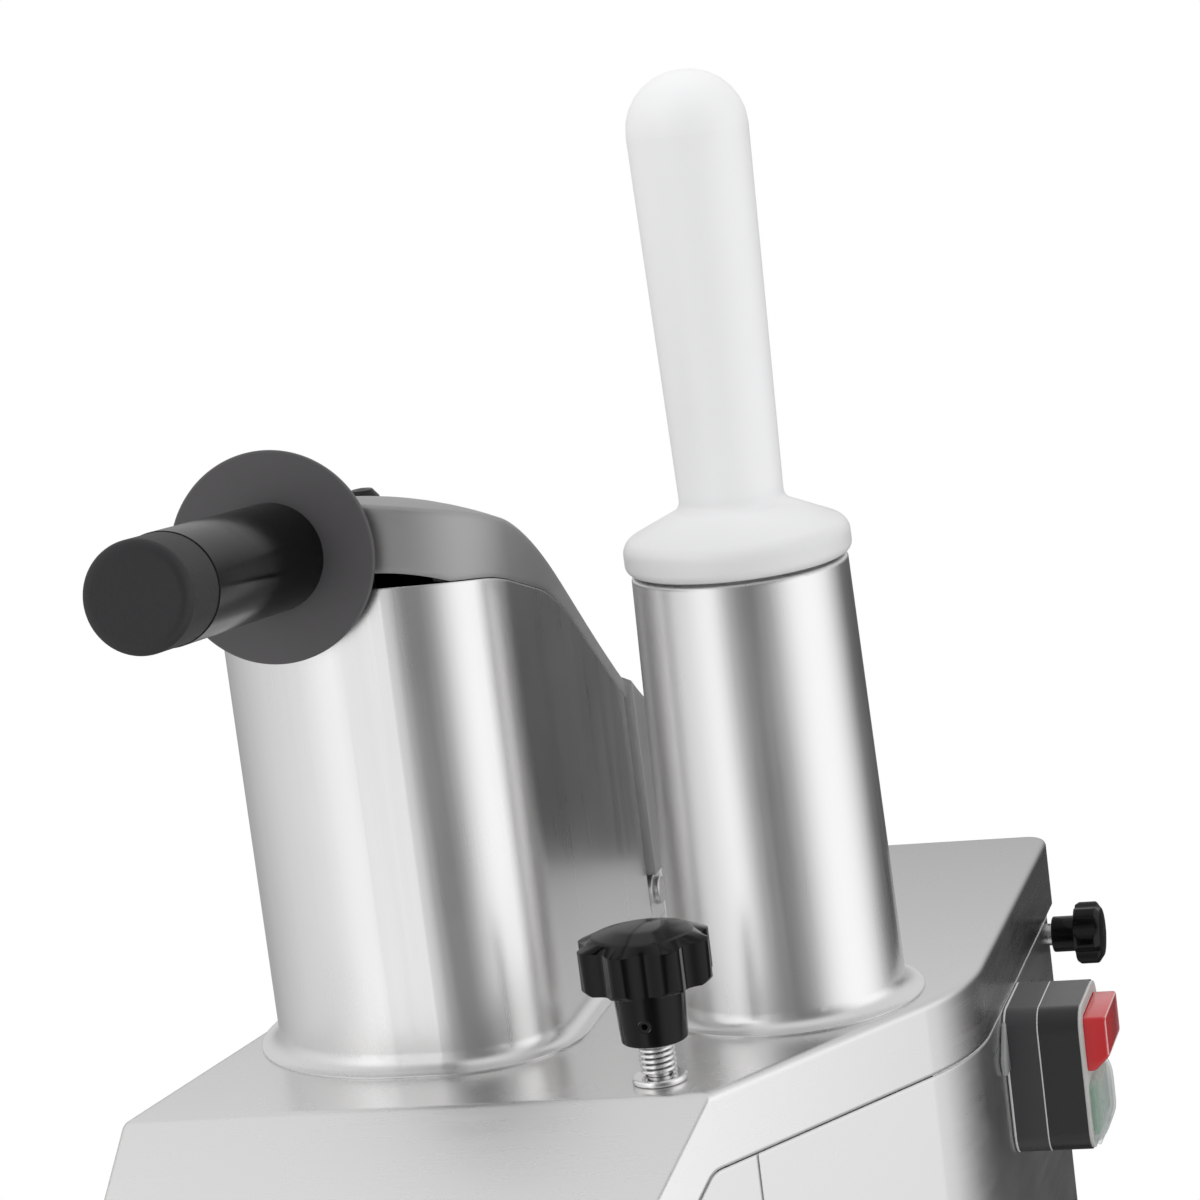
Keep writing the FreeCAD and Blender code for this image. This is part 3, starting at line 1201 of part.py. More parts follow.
back, front, bezel = num("switch_back"), num("switch_front"), num("bezel_thickness")
width, height = num("switch_width"), num("switch_height")
frame_piece("switch_back_box", 0, [(2.5, -2.5, width - 2.5, 2.5 - height, 5)], 0, back, 8)
frame_piece("switch_core", 2.8, [], 0.3, back - 0.2, 5)
side = num("window_side")
stop_window = (side, -num("stop_top"), width - side, -num("stop_low"), 3)
start_window = (side, -num("start_top"), width - side, num("start_margin") - height, 3)
frame_piece("switch_housing", 0, [stop_window, start_window], back + 0.2, back + front, 8)
frame_piece("switch_bezel", 0.4, [stop_window, start_window], back + front, back + front + bezel, 8)
face = back + front + bezel


def button(name, window, low, high, gap):
    left, top, right, bottom, corner = window
    outline = corner_wire([Vector(left + gap, top - gap, 0), Vector(right - gap, top - gap, 0),
                           Vector(right - gap, bottom + gap, 0), Vector(left + gap, bottom + gap, 0)],
                           [corner - gap] * 4)
    solid = prism(outline, 0, high - low)
    upper = [edge for edge in solid.Edges if edge.BoundBox.ZMin > high - low - 0.01]
    return casting(name, solid.makeFillet(1.2, upper), switch_at(low))


button("stop_button", stop_window, back + num("button_travel") + 0.5, face + num("stop_reach"), 0.4)
button("start_button", start_window, back + num("button_travel") + 0.5, face + num("start_reach"), 0.4)

# Clear cover over the start key, turning on a thin barrel along its lower edge
left, right = num("cover_side"), width - num("cover_side")
top, bottom = -num("cover_top"), num("cover_margin") - height
cover_rise, cover_wall, cover_hinge = num("cover_rise"), num("cover_wall"), num("cover_hinge")
cover_outer = corner_wire([Vector(left, top, 0), Vector(right, top, 0), Vector(right, bottom, 0),
                           Vector(left, bottom, 0)], [4] * 4)
splash = prism(cover_outer, 0, cover_rise)
splash = splash.makeFillet(3, [edge for edge in splash.Edges if edge.BoundBox.ZMin > cover_rise - 0.01])
cover_inner = cover_outer.makeOffset2D(-cover_wall)
splash = splash.cut(prism(cover_inner, -1, cover_rise - cover_wall))
hinge_barrel = rod(Vector(left + 5, bottom, cover_hinge), Vector(right - 5, bottom, cover_hinge),
                   cover_hinge)
casting("splash_cover", splash.fuse(hinge_barrel), switch_at(face + 0.3))

# Clear latch beside the upper front corner of the switch
latch_corners = [Vector(-6.5, -14, 0), Vector(-0.3, -5, 0), Vector(-0.3, -21.5, 0), Vector(-5.7, -20.5, 0)]
casting("switch_latch", prism(corner_wire(latch_corners, [1] * 4), 0, 6), switch_at(0.3))

# Every piece is checked before anything is written
doc.recompute()
for item in doc.Objects:
    for fault in ("Invalid", "Error"):
        if fault in item.State:
            raise RuntimeError(item.Name + " did not build")
for piece in nodes:
    if piece.Shape.isNull() or not piece.Shape.isValid() or not piece.Shape.Solids:
        raise RuntimeError(piece.Label + " has no valid solid")
os.makedirs("parts", exist_ok=True)
for piece in nodes:
    piece.Shape.exportStep("parts/" + piece.Label + ".step")
print(len(nodes), "sub-parts written")
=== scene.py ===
import math

import bmesh
import bpy
from mathutils import Matrix, Vector
from mathutils.geometry import convex_hull_2d


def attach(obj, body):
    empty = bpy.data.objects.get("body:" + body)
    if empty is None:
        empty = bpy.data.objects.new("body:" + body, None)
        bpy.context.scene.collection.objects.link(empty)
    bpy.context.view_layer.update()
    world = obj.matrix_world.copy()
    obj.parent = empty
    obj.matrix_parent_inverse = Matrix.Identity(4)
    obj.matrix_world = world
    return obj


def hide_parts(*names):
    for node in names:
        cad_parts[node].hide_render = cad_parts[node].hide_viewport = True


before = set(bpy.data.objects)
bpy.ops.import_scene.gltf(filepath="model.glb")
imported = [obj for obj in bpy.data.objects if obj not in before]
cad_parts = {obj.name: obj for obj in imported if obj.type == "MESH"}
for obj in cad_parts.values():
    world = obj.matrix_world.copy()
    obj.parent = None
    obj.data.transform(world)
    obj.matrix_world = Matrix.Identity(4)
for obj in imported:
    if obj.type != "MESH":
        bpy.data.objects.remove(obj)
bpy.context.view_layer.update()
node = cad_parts

# The studio
# A pale floor, an even white room and soft lights. The room is brighter and darker in upright bands,
# as cards and soft boxes round the table leave it, because polished castings show nothing else.
scene = bpy.context.scene
scene.view_settings.view_transform = "Standard"
slope = math.radians(28)
lid_origin = Vector((0.0584, -0.0242, 0.228))
camera_side = math.radians(15.3)
camera_tilt = math.radians(90 + 16.2)


def on_lid(u, v, w):
    """Point u to the right, v up the slope and w off the lid, in millimetres from the feed tube's foot."""
    along = v * math.cos(slope) - w * math.sin(slope)
    up = v * math.sin(slope) + w * math.cos(slope)
    return lid_origin + Vector((u, along, up)) / 1000


camera_data = bpy.data.cameras.new("camera")
camera_data.sensor_width = 36
camera_data.lens = 129.2
camera = bpy.data.objects.new("camera", camera_data)
camera.location = lid_origin + Vector((0.3097, -1.3725, -0.2718))
camera.rotation_euler = (camera_tilt, 0, camera_side)
scene.collection.objects.link(camera)
scene.camera = camera

# The camera is a little lower than the floor, so the floor stops short of it.
floor_front, floor_reach = -1.02, 3
floor_corners = [(-floor_reach, floor_front, 0), (floor_reach, floor_front, 0),
                 (floor_reach, floor_reach, 0), (-floor_reach, floor_reach, 0)]
floor_mesh = bpy.data.meshes.new("floor")
floor_mesh.from_pydata(floor_corners, [], [(0, 1, 2, 3)])
floor = bpy.data.objects.new("floor", floor_mesh)
scene.collection.objects.link(floor)
floor.visible_glossy = False


class Value:
    """A number or colour in a node tree; arithmetic on it adds Math nodes."""

    def __init__(self, finish, socket):
        self.finish, self.socket = finish, socket

    def combined(self, operation, first, second):
        return self.finish.node("ShaderNodeMath", {"operation": operation}, {0: first, 1: second})

    def __add__(self, other):
        return self.combined("ADD", self, other)

    def __sub__(self, other):
        return self.combined("SUBTRACT", self, other)

    def __rsub__(self, other):
        return self.combined("SUBTRACT", other, self)

    def __mul__(self, other):
        return self.combined("MULTIPLY", self, other)

    def __truediv__(self, other):
        return self.combined("DIVIDE", self, other)

    __radd__ = __add__
    __rmul__ = __mul__


class Finish:
    """A node tree that is filled by asking for one node after another."""

    def __init__(self, owner):
        self.owner = owner
        owner.use_nodes = True
        self.tree = owner.node_tree
        self.tree.nodes.clear()

    def node(self, kind, settings=None, values=None, out=0):
        made = self.tree.nodes.new(kind)
        for key, value in (settings or {}).items():
            if key == "stops":
                ramp = made.color_ramp
                while len(ramp.elements) < len(value):
                    ramp.elements.new(0.5)
                for element, (place, grey) in zip(ramp.elements, value):
                    element.position = place
                    element.color = (grey, grey, grey, 1)
            else:
                setattr(made, key, value)
        for key, value in (values or {}).items():
            if isinstance(value, Value):
                self.tree.links.new(value.socket, made.inputs[key])
            else:
                made.inputs[key].default_value = value
        return Value(self, made.outputs[out]) if made.outputs else made

    def of(self, value, out):
        """Another output of the node that a value came from."""
        return Value(self, value.socket.node.outputs[out])


room = Finish(bpy.data.worlds.new("room"))
scene.world = room.owner
direction = room.node("ShaderNodeTexCoord", out="Generated")
east = room.node("ShaderNodeSeparateXYZ", values={0: direction}, out="X")
north = room.of(east, "Y")
height = room.of(east, "Z")
toward = north * -math.cos(camera_side) + east * math.sin(camera_side)
aside = east * math.cos(camera_side) + north * math.sin(camera_side)
turn = room.node("ShaderNodeMath", {"operation": "ARCTAN2"}, {0: aside, 1: toward}) / (2 * math.pi) + 0.5
bands = room.node("ShaderNodeValToRGB", {"stops": [
    (0.0, 0.24), (0.083, 0.42), (0.206, 0.76), (0.292, 0.84), (0.355, 1.16), (0.385, 1.22), (0.412, 0.86),
    (0.44, 0.38), (0.5, 0.17), (0.533, 0.17), (0.568, 0.25), (0.6, 0.5), (0.631, 0.92), (0.667, 1.17),
    (0.735, 1.18), (0.768, 1.0), (0.806, 0.5), (0.842, 0.1), (0.93, 0.06), (1.0, 0.1)]}, {0: turn})
ceiling_grey, ground_grey, plain_grey = ((grey, grey, grey, 1) for grey in (0.74, 0.8, 0.66))
over = room.node("ShaderNodeMapRange", {"interpolation_type": "SMOOTHSTEP"}, {0: height, 1: 0.25, 2: 0.7})
under = room.node("ShaderNodeMapRange", {"interpolation_type": "SMOOTHSTEP"}, {0: height, 1: -0.8, 2: -0.98})
lifted = room.node("ShaderNodeMix", {"data_type": "RGBA"}, {0: over, 6: bands, 7: ceiling_grey}, out=2)
grounded = room.node("ShaderNodeMix", {"data_type": "RGBA"}, {0: under, 6: lifted, 7: ground_grey}, out=2)
rays = room.node("ShaderNodeLightPath", out="Is Camera Ray")
shiny = room.of(rays, "Is Glossy Ray")
plain = room.node("ShaderNodeMix", {"data_type": "RGBA"}, {0: shiny, 6: plain_grey, 7: grounded}, out=2)
seen = room.node("ShaderNodeMix", {"data_type": "RGBA"}, {0: rays, 6: plain, 7: (1, 1, 1, 1)}, out=2)
surroundings = room.node("ShaderNodeBackground", values={0: seen, 1: 1.0})
room.node("ShaderNodeOutputWorld", values={0: surroundings})

pale = Finish(bpy.data.materials.new("floor_paint"))
sheet_tone = pale.node("ShaderNodeTexNoise", values={"Scale": 3.0, "Detail": 2.0}) * 0.02 + 0.82
tone = pale.node("ShaderNodeCombineColor", values={0: sheet_tone, 1: sheet_tone, 2: sheet_tone})
matt = pale.node("ShaderNodeBsdfPrincipled", values={"Base Color": tone, "Roughness": 0.85})
pale.node("ShaderNodeOutputMaterial", values={0: matt})
floor_mesh.materials.append(pale.owner)

machine_middle = Vector((0, 0, 0.25))
for name, place, size, power in (("window_left", (-1.5, -1.3, 1.5), 1.4, 13),
                                 ("window_right", (1.7, -1.1, 1.2), 1.4, 9),
                                 ("window_top", (0.1, 0.4, 2.0), 1.8, 6)):
    lamp_data = bpy.data.lights.new(name, "AREA")
    lamp_data.shape = "SQUARE"
    lamp_data.size = size
    lamp_data.energy = power
    lamp = bpy.data.objects.new(name, lamp_data)
    lamp.location = place
    lamp.rotation_euler = (machine_middle - Vector(place)).to_track_quat("-Z", "Y").to_euler()
    lamp.visible_glossy = False
    scene.collection.objects.link(lamp)

# The body
# Aluminium sand castings that meet face to face: the walls with the hinge ledge, the disc chamber with
# its deck, and the front wall. They are brushed along the slope, so the grain is fine and a bit streaked.


def cast_metal(name, tone, roughness, grain, relief=0.02, painted_rear_shade=0.0, edge=0.0008):
    """Brushed casting: grain is how often the brushing changes to the side, up the slope and off the lid.

    Relief is how deep the grain stands, painted_rear_shade is painted shade: how much darker the rear is
    than the front, per metre up the slope, and edge is how softly the polishing wheel left the edges.
    """
    mottle = 0.05
    metal = Finish(bpy.data.materials.new(name))
    place = metal.node("ShaderNodeTexCoord", out="Object")
    level = metal.node("ShaderNodeMapping", {"vector_type": "POINT"}, {0: place, 2: (-slope, 0, 0)})
    drawn = metal.node("ShaderNodeVectorMath", {"operation": "MULTIPLY"}, {0: level, 1: grain})
    streaks = metal.node("ShaderNodeTexNoise", values={
        "Vector": drawn, "Scale": 1.0, "Detail": 4.0, "Roughness": 0.6})
    clouds = metal.node("ShaderNodeTexNoise", values={"Vector": level, "Scale": 22.0, "Detail": 3.0})
    pits = metal.node("ShaderNodeTexNoise", values={"Vector": level, "Scale": 900.0, "Detail": 2.0})
    along = metal.node("ShaderNodeSeparateXYZ", values={0: level}, out="Y")
    # Painted shade: the tone is darkened up the slope, towards the rear.
    grey = (streaks - 0.5) * mottle + (clouds - 0.5) * mottle + tone - along * painted_rear_shade
    warm = metal.node("ShaderNodeCombineColor", values={0: grey, 1: grey * 0.997, 2: grey * 0.993})
    rough = (streaks - 0.5) * 0.12 + (clouds - 0.5) * 0.1 + roughness
    raised = streaks * 0.85 + pits * 0.15
    eased_edge = metal.node("ShaderNodeBevel", {"samples": 4}, {"Radius": edge})
    skin = metal.node("ShaderNodeBump", values={
        "Strength": relief, "Distance": 0.0006, "Height": raised, "Normal": eased_edge})
    surface = metal.node("ShaderNodeBsdfPrincipled", values={
        "Base Color": warm, "Metallic": 1.0, "Roughness": rough, "Normal": skin})
    metal.node("ShaderNodeOutputMaterial", values={0: surface})
    return metal.owner


def dress(material, *names):
    """Give CAD nodes their finish."""
    for name in names:
        for slot in node[name].material_slots:
            slot.material = material


body_metal = cast_metal("body_casting_metal", 0.79, 0.3, (260, 14, 260), 0.01, edge=0.0015)
dress(body_metal, "body_casting", "chamber_casting", "front_casting")

# Base plate, rubber feet and small steel parts
# A brushed sheet closes the body from below, held by the screws of four moulded rubber feet.
# The pins, screws, bearings and the shaft are turned steel, and the lock's set screw is blackened.


def moulded(name, colour, roughness, texture=(400.0, 0.03), coat=0.0, speckle=0.12, shine=0.5):
    """Moulded plastic or rubber with a faint unevenness of colour and a fine skin.

    Texture is how fine and how deep the skin is, and speckle is how far the colour strays.
    """
    fineness, depth = texture
    plastic = Finish(bpy.data.materials.new(name))
    place = plastic.node("ShaderNodeTexCoord", out="Object")
    clouds = plastic.node("ShaderNodeTexNoise", values={"Vector": place, "Scale": 35.0, "Detail": 3.0})
    skin = plastic.node("ShaderNodeTexNoise", values={"Vector": place, "Scale": fineness, "Detail": 3.0})
    share = (clouds - 0.5) * speckle + 1.0
    channels = [share * channel for channel in colour]
    tint = plastic.node("ShaderNodeCombineColor", values=dict(enumerate(channels)))
    rough = (clouds - 0.5) * 0.1 + (skin - 0.5) * 0.08 + roughness
    relief = plastic.node("ShaderNodeBump", values={"Strength": depth, "Distance": 0.0005, "Height": skin})
    surface = plastic.node("ShaderNodeBsdfPrincipled", values={
        "Base Color": tint, "Roughness": rough, "Coat Weight": coat, "Coat Roughness": 0.06,
        "Specular IOR Level": shine, "Normal": relief})
    plastic.node("ShaderNodeOutputMaterial", values={0: surface})
    return plastic.owner


sheet_metal = cast_metal("brushed_sheet", 0.62, 0.34, (18, 420, 420), 0.06)
screw_metal = cast_metal("turned_steel", 0.6, 0.26, (500, 500, 60), 0.03)
black_steel = cast_metal("blackened_steel", 0.03, 0.4, (500, 500, 60), 0.03)
foot_rubber = moulded("foot_rubber", (0.02, 0.02, 0.021), 0.62, (700.0, 0.12))
gland_nylon = moulded("gland_nylon", (0.022, 0.022, 0.023), 0.4)
dress(sheet_metal, "base_plate", "motor_plate")
dress(screw_metal, "foot_screws", "housing_screws", "plate_screws", "lever_pivot_pin", "hinge_pin",
      "lever_rod", "drive_shaft", "disc_nut", "lock_stud", "small_pulley", "lock_collar", "lid_magnet",
      "upper_bearing", "lower_bearing")
dress(foot_rubber, "rubber_feet", "drive_belt", "shaft_seal")
dress(black_steel, "lock_set_screw")

# Disc drive
# A belt motor turns a shaft in a cast housing, and the shaft carries the cutting disc and the white
# ejector disc. The motor and the big pulley are enamelled iron, the cutting disc and its blades steel.
enamel = moulded("dark_enamel", (0.045, 0.047, 0.05), 0.42, (260.0, 0.08), coat=0.3)
ground_steel = cast_metal("ground_steel", 0.68, 0.2, (60, 500, 300), 0.03)
ejector_plastic = moulded("ejector_plastic", (0.8, 0.8, 0.79), 0.42)
dress(enamel, "motor_casing", "motor_stator", "motor_rotor", "large_pulley")
dress(ground_steel, "cutting_disc", "disc_blades")
dress(ejector_plastic, "ejector_disc", "terminal_block")
dress(body_metal, "bearing_housing", "motor_end_cap")

# Lid with its two feed openings
# The lid casting is ground flat; the hopper and the round tube are welded on and brushed along their
# length. The hollow fillets at their feet are polished smooth by hand.
# The lid gets painted shade: its tone is darker towards the rear, up the slope.
lid_metal = cast_metal("lid_metal", 0.82, 0.27, (24, 24, 300), 0.01, painted_rear_shade=1.1, edge=0.0015)
shaft_metal = cast_metal("feed_shaft_metal", 0.84, 0.3, (420, 420, 7), 0.03)
dress(lid_metal, "lid_casting")
dress(shaft_metal, "feed_hopper", "feed_tube")

# Pressing lever
# The hood is a crowned casting that closes the hopper; a web under it carries the white-metal press plate.
# It swings on a steel pin between two cast ears.
hood_metal = cast_metal("hood_metal", 0.5, 0.6, (300, 12, 300), 0.03, edge=0.003)
plate_metal = cast_metal("press_plate_metal", 0.76, 0.3, (14, 300, 300))
cap_gloss = moulded("hood_cap_plastic", (0.012, 0.012, 0.013), 0.3, shine=0.25)
dress(hood_metal, "lever_hood")
dress(plate_metal, "pusher_plate", "lever_ears")
dress(cap_gloss, "hood_cap")

# Grip of the lever
# A steel rod in a glossy plastic sleeve, with a thin disc that guards the hand and a pressed-on end cap.
# The cap is grained and matt, the guard has a dull satin sheen.
sleeve_plastic = moulded("sleeve_plastic", (0.002, 0.002, 0.0022), 0.16, (220.0, 0.02), shine=0.1)
guard_plastic = moulded("guard_plastic", (0.085, 0.081, 0.085), 0.4, (320.0, 0.04))
cap_plastic = moulded("cap_plastic", (0.018, 0.018, 0.02), 0.6, (900.0, 0.25))
dress(sleeve_plastic, "grip_sleeve")
dress(guard_plastic, "grip_guard")
dress(cap_plastic, "grip_end_cap")

# Hand pusher of the round tube
# Turned from white food-grade plastic, which lets a little light into it and shows no grain.
# The handle is painted whiter than the flange and the plunger: painted light, standing in for the shade on
# the flange.
flange_top, handle_foot = 0.155, 0.175
plunger_tone, painted_handle_light_tone = 0.8, 0.95
pusher_plastic = Finish(bpy.data.materials.new("white_pusher_plastic"))
pusher_place = pusher_plastic.node("ShaderNodeTexCoord", out="Object")
pusher_level = pusher_plastic.node("ShaderNodeMapping", {"vector_type": "POINT"}, {
    0: pusher_place, 1: -on_lid(0, 0, 0), 2: (0, 0, 0)})
pusher_along = pusher_plastic.node("ShaderNodeVectorMath", {"operation": "DOT_PRODUCT"}, {
    0: pusher_level, 1: (0, -math.sin(slope), math.cos(slope))}, out="Value")
# Painted light: the colour is lighter above the flange, on the handle, than on the flange and plunger.
painted_handle_light = pusher_plastic.node("ShaderNodeMapRange", {"interpolation_type": "SMOOTHSTEP"}, {
    0: pusher_along, 1: flange_top, 2: handle_foot, 3: plunger_tone, 4: painted_handle_light_tone})
pusher_clouds = pusher_plastic.node("ShaderNodeTexNoise", values={
    "Vector": pusher_place, "Scale": 35.0, "Detail": 3.0})
mottle = (pusher_clouds - 0.5) * 0.02
pusher_tone = painted_handle_light + mottle
pusher_tint = pusher_plastic.node("ShaderNodeCombineColor", values={
    0: pusher_tone * 0.995, 1: pusher_tone, 2: pusher_tone * 1.005})
pusher_skin = pusher_plastic.node("ShaderNodeTexNoise", values={
    "Vector": pusher_place, "Scale": 60.0, "Detail": 3.0})
pusher_relief = pusher_plastic.node("ShaderNodeBump", values={
    "Strength": 0.01, "Distance": 0.0005, "Height": pusher_skin})
pusher_surface = pusher_plastic.node("ShaderNodeBsdfPrincipled", values={
    "Base Color": pusher_tint, "Roughness": mottle * 2 + 0.33, "Normal": pusher_relief})
pusher_plastic.node("ShaderNodeOutputMaterial", values={0: pusher_surface})


def eased(corners):
    """Outline through (radius, height, rounding) corners with arcs at the rounded ones."""
    arc_steps = 7
    points = []
    for index, (radius, height, rounding) in enumerate(corners):
        here = Vector((radius, height))
        if not rounding:
            points.append(here)
            continue
        back = (Vector(corners[index - 1][:2]) - here).normalized()
        ahead = (Vector(corners[index + 1][:2]) - here).normalized()
        half = math.acos(max(-1, min(1, back.dot(ahead)))) / 2
        centre = here + (back + ahead).normalized() * (rounding / math.sin(half))
        first = here + back * (rounding / math.tan(half)) - centre
        last = here + ahead * (rounding / math.tan(half)) - centre
        sweep = math.atan2(first.x * last.y - first.y * last.x, first.dot(last))
        for step in range(arc_steps + 1):
            points.append(centre + Matrix.Rotation(sweep * step / arc_steps, 2) @ first)
    return points


def axis_frame(u, v, w, forward=(0, 0, 1)):
    """Matrix from millimetres about a piece's own axis to the machine.

    The axis starts at u, v, w on the lid and points along forward, which is also in the lid's directions.
    """
    tip = Matrix.Rotation(slope, 3, "X") @ Vector(forward).normalized()
    turned = tip.to_track_quat("Z", "Y").to_matrix()
    return Matrix.Translation(on_lid(u, v, w)) @ (turned * 0.001).to_4x4()


def cleaned(mesh):
    """Merge the points of a mesh that coincide and turn its faces outwards."""
    working = bmesh.new()
    working.from_mesh(mesh)
    bmesh.ops.remove_doubles(working, verts=working.verts, dist=1e-6)
    bmesh.ops.recalc_face_normals(working, faces=working.faces)
    working.to_mesh(mesh)
    working.free()


def piece(name, mesh, body, material, stands_for=(), sharp=50):
    """Finish a mesh: smooth but for edges above sharp degrees, with its material, slot and body."""
    cleaned(mesh)
    mesh.shade_smooth()
    mesh.set_sharp_from_angle(angle=math.radians(sharp))
    mesh.materials.clear()
    mesh.materials.append(material)
    made = bpy.data.objects.new(name, mesh)
    scene.collection.objects.link(made)
    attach(made, body)
    if stands_for:
        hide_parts(*stands_for)
    return made


def lathed(name, corners, place, shape=None, around=128):
    """Mesh turned about an axis; shape(radius, angle) may draw the radius in as it goes round."""
    outline = eased(corners)
    points, faces = [], []
    for radius, height in outline:
        for step in range(around):
            angle = 2 * math.pi * step / around
            reach = shape(radius, angle) if shape else radius
            points.append(place @ Vector((reach * math.cos(angle), reach * math.sin(angle), height)))
    for ring in range(len(outline) - 1):
        lower, upper = ring * around, (ring + 1) * around
        for step in range(around):
            after = (step + 1) % around
            faces.append((lower + step, lower + after, upper + after, upper + step))
    mesh = bpy.data.meshes.new(name)
    mesh.from_pydata(points, [], faces)
    return mesh


pusher_outline = [(0, -2, 0), (30.3, -2, 2), (30.3, 147.5, 0), (37.1, 147.5, 3.2), (37.1, 157.6, 5.6),
                  (17.0, 167.0, 4.5), (19.7, 287.6, 60), (19.7, 307.6, 19.0), (0, 307.6, 0)]
piece("hand_pusher", lathed("hand_pusher", pusher_outline, axis_frame(0, 0, 0)), "pusher",
      pusher_plastic.owner, ["feed_pusher"])

# Lock knob, its spring and its washer
# A star knob of glossy black phenolic turns a threaded stud; a bright spring lifts it when it is undone.
# Its hub is drilled from the front for the set screw.
phenolic = moulded("knob_phenolic", (0.003, 0.0028, 0.0028), 0.1, (150.0, 0.008), shine=0.2)
bright = cast_metal("bright_plating", 0.9, 0.1, (200, 200, 200), 0.01)
dress(bright, "lock_spring", "lock_washer")


def fluted(lobes, reach, depth, start=0.0):
    """Radius limit of a star knob: a wave of round lobes, with narrower hollows of the given depth."""
    def limit(radius, angle):
        hollow = (0.5 + 0.5 * math.cos(lobes * (angle - start))) ** 1.3
        return min(radius, reach - depth * hollow)
    return limit


lock_side, lock_along, star_foot = -25.9, -83.6, 13.3
set_screw_height, set_screw_radius = 7.65, 2.1
star_outline = [(4.1, 0.4, 0), (10.6, 0.4, 0.8), (11.6, 18.6, 0.6), (20.6, 19.2, 0.5), (21.6, 20.4, 0.8),
                (21.8, 32.8, 0.45), (15.5, 35.3, 14), (8.0, 37.2, 16), (0, 37.8, 0)]
star_mesh = lathed("lock_knob_head", star_outline, axis_frame(lock_side, lock_along, star_foot),
                   fluted(lobes=8, reach=21.8, depth=3.4, start=0.218), around=480)
drill_outline = [(0, 6, 0), (set_screw_radius, 6, 0), (set_screw_radius, 14, 0), (0, 14, 0)]
drill_frame = axis_frame(lock_side, lock_along, star_foot + set_screw_height, (0, -1, 0))
drill_mesh = lathed("drill", drill_outline, drill_frame, around=32)
star, drill = (bpy.data.objects.new(mesh.name, mesh) for mesh in (star_mesh, drill_mesh))
for part in (star, drill):
    scene.collection.objects.link(part)
    cleaned(part.data)
bored = star.modifiers.new("set_screw_hole", "BOOLEAN")
bored.object = drill
bored.solver = "EXACT"
bored_mesh = bpy.data.meshes.new_from_object(star.evaluated_get(bpy.context.evaluated_depsgraph_get()))
for part in (star, drill):
    bpy.data.objects.remove(part)
knob_head = piece("lock_knob_head", bored_mesh, "lock_knob", phenolic, ["lock_star_knob"], 48)
# Brushed castings show no image of the knob beside them, so it is kept out of their reflections.
knob_head.visible_glossy = False

# Side knob on the hinge pin
# A small six-lobed knob of the same phenolic, pressed on the pin that the lid turns on.
# It stands out at the right end of the hinge.
side_outline = [(4.1, 0.2, 0), (6.5, 0.2, 0.6), (6.5, 8.6, 0.5), (10.4, 8.9, 0.5), (11.3, 10.2, 0.8),
                (11.3, 16.4, 1.2), (8.6, 18.3, 1.5), (4.0, 19.0, 1), (0, 19.0, 0)]
side_foot = (61.5, 166.8, -32)
side_mesh = lathed("side_knob_head", side_outline, axis_frame(*side_foot, (1, 0, 0)),
                   fluted(lobes=6, reach=11.4, depth=1.9), around=192)
piece("side_knob_head", side_mesh, "side_pin", phenolic, ["side_star_knob"])

# Seal between body and lid
# The lid closes on a thin pale cord that lies on the rim of the body and follows its outline.
# The cord is pressed flat, so it only shows as a fine line between the two castings.
bead_plastic = moulded("sealing_bead_plastic", (0.62, 0.63, 0.62), 0.35, speckle=0.05)


class Steps(Finish):
    """The steps of a Geometry Nodes tree; its sizes are named inputs of the tree."""

    def __init__(self, name, sizes):
        self.tree = bpy.data.node_groups.new(name, "GeometryNodeTree")
        self.tree.interface.new_socket("Mesh", in_out="INPUT", socket_type="NodeSocketGeometry")
        self.tree.interface.new_socket("Mesh", in_out="OUTPUT", socket_type="NodeSocketGeometry")
        for label, value in sizes.items():
            kind = "NodeSocketInt" if isinstance(value, int) else "NodeSocketFloat"
            self.tree.interface.new_socket(label, in_out="INPUT", socket_type=kind).default_value = value
        self.given = self.node("NodeGroupInput")

    def size(self, label):
        """One of the tree's named sizes."""
        return self.of(self.given, label)

    def finish(self, shape, material):
        whole = self.node("GeometryNodeRealizeInstances", values={"Geometry": shape})
        coloured = self.node("GeometryNodeSetMaterial", values={"Geometry": whole, "Material": material})
        self.node("NodeGroupOutput", values={0: coloured})
        return self.tree


def grown(mesh, tree, **sizes):
    """Plain mesh that a tree of steps makes from a mesh; sizes are named as the tree's inputs."""
    source = bpy.data.objects.new(mesh.name, mesh)
    scene.collection.objects.link(source)
    grower = source.modifiers.new("steps", "NODES")
    grower.node_group = tree
    for item in tree.interface.items_tree:
        if item.in_out == "INPUT" and item.name in sizes:
            grower[item.identifier] = sizes[item.name]
    made = bpy.data.meshes.new_from_object(source.evaluated_get(bpy.context.evaluated_depsgraph_get()))
    bpy.data.objects.remove(source)
    made.name = mesh.name
    return made


def line_mesh(name, points, closed=False):
    """Mesh of one line through the points, and back to the first where it is closed."""
    count = len(points)
    edges = [(index, (index + 1) % count) for index in range(count if closed else count - 1)]
    mesh = bpy.data.meshes.new(name)
    mesh.from_pydata(points, edges, [])
    return mesh


bead_steps = Steps("bead_round_a_joint", {"Thickness": 0.0005})
line = bead_steps.node("GeometryNodeMeshToCurve", values={"Mesh": bead_steps.given})
section = bead_steps.node("GeometryNodeCurvePrimitiveCircle", values={
    "Resolution": 10, "Radius": bead_steps.size("Thickness")})
bead = bead_steps.node("GeometryNodeCurveToMesh", values={"Curve": line, "Profile Curve": section})
bead_tree = bead_steps.finish(bead, bead_plastic)

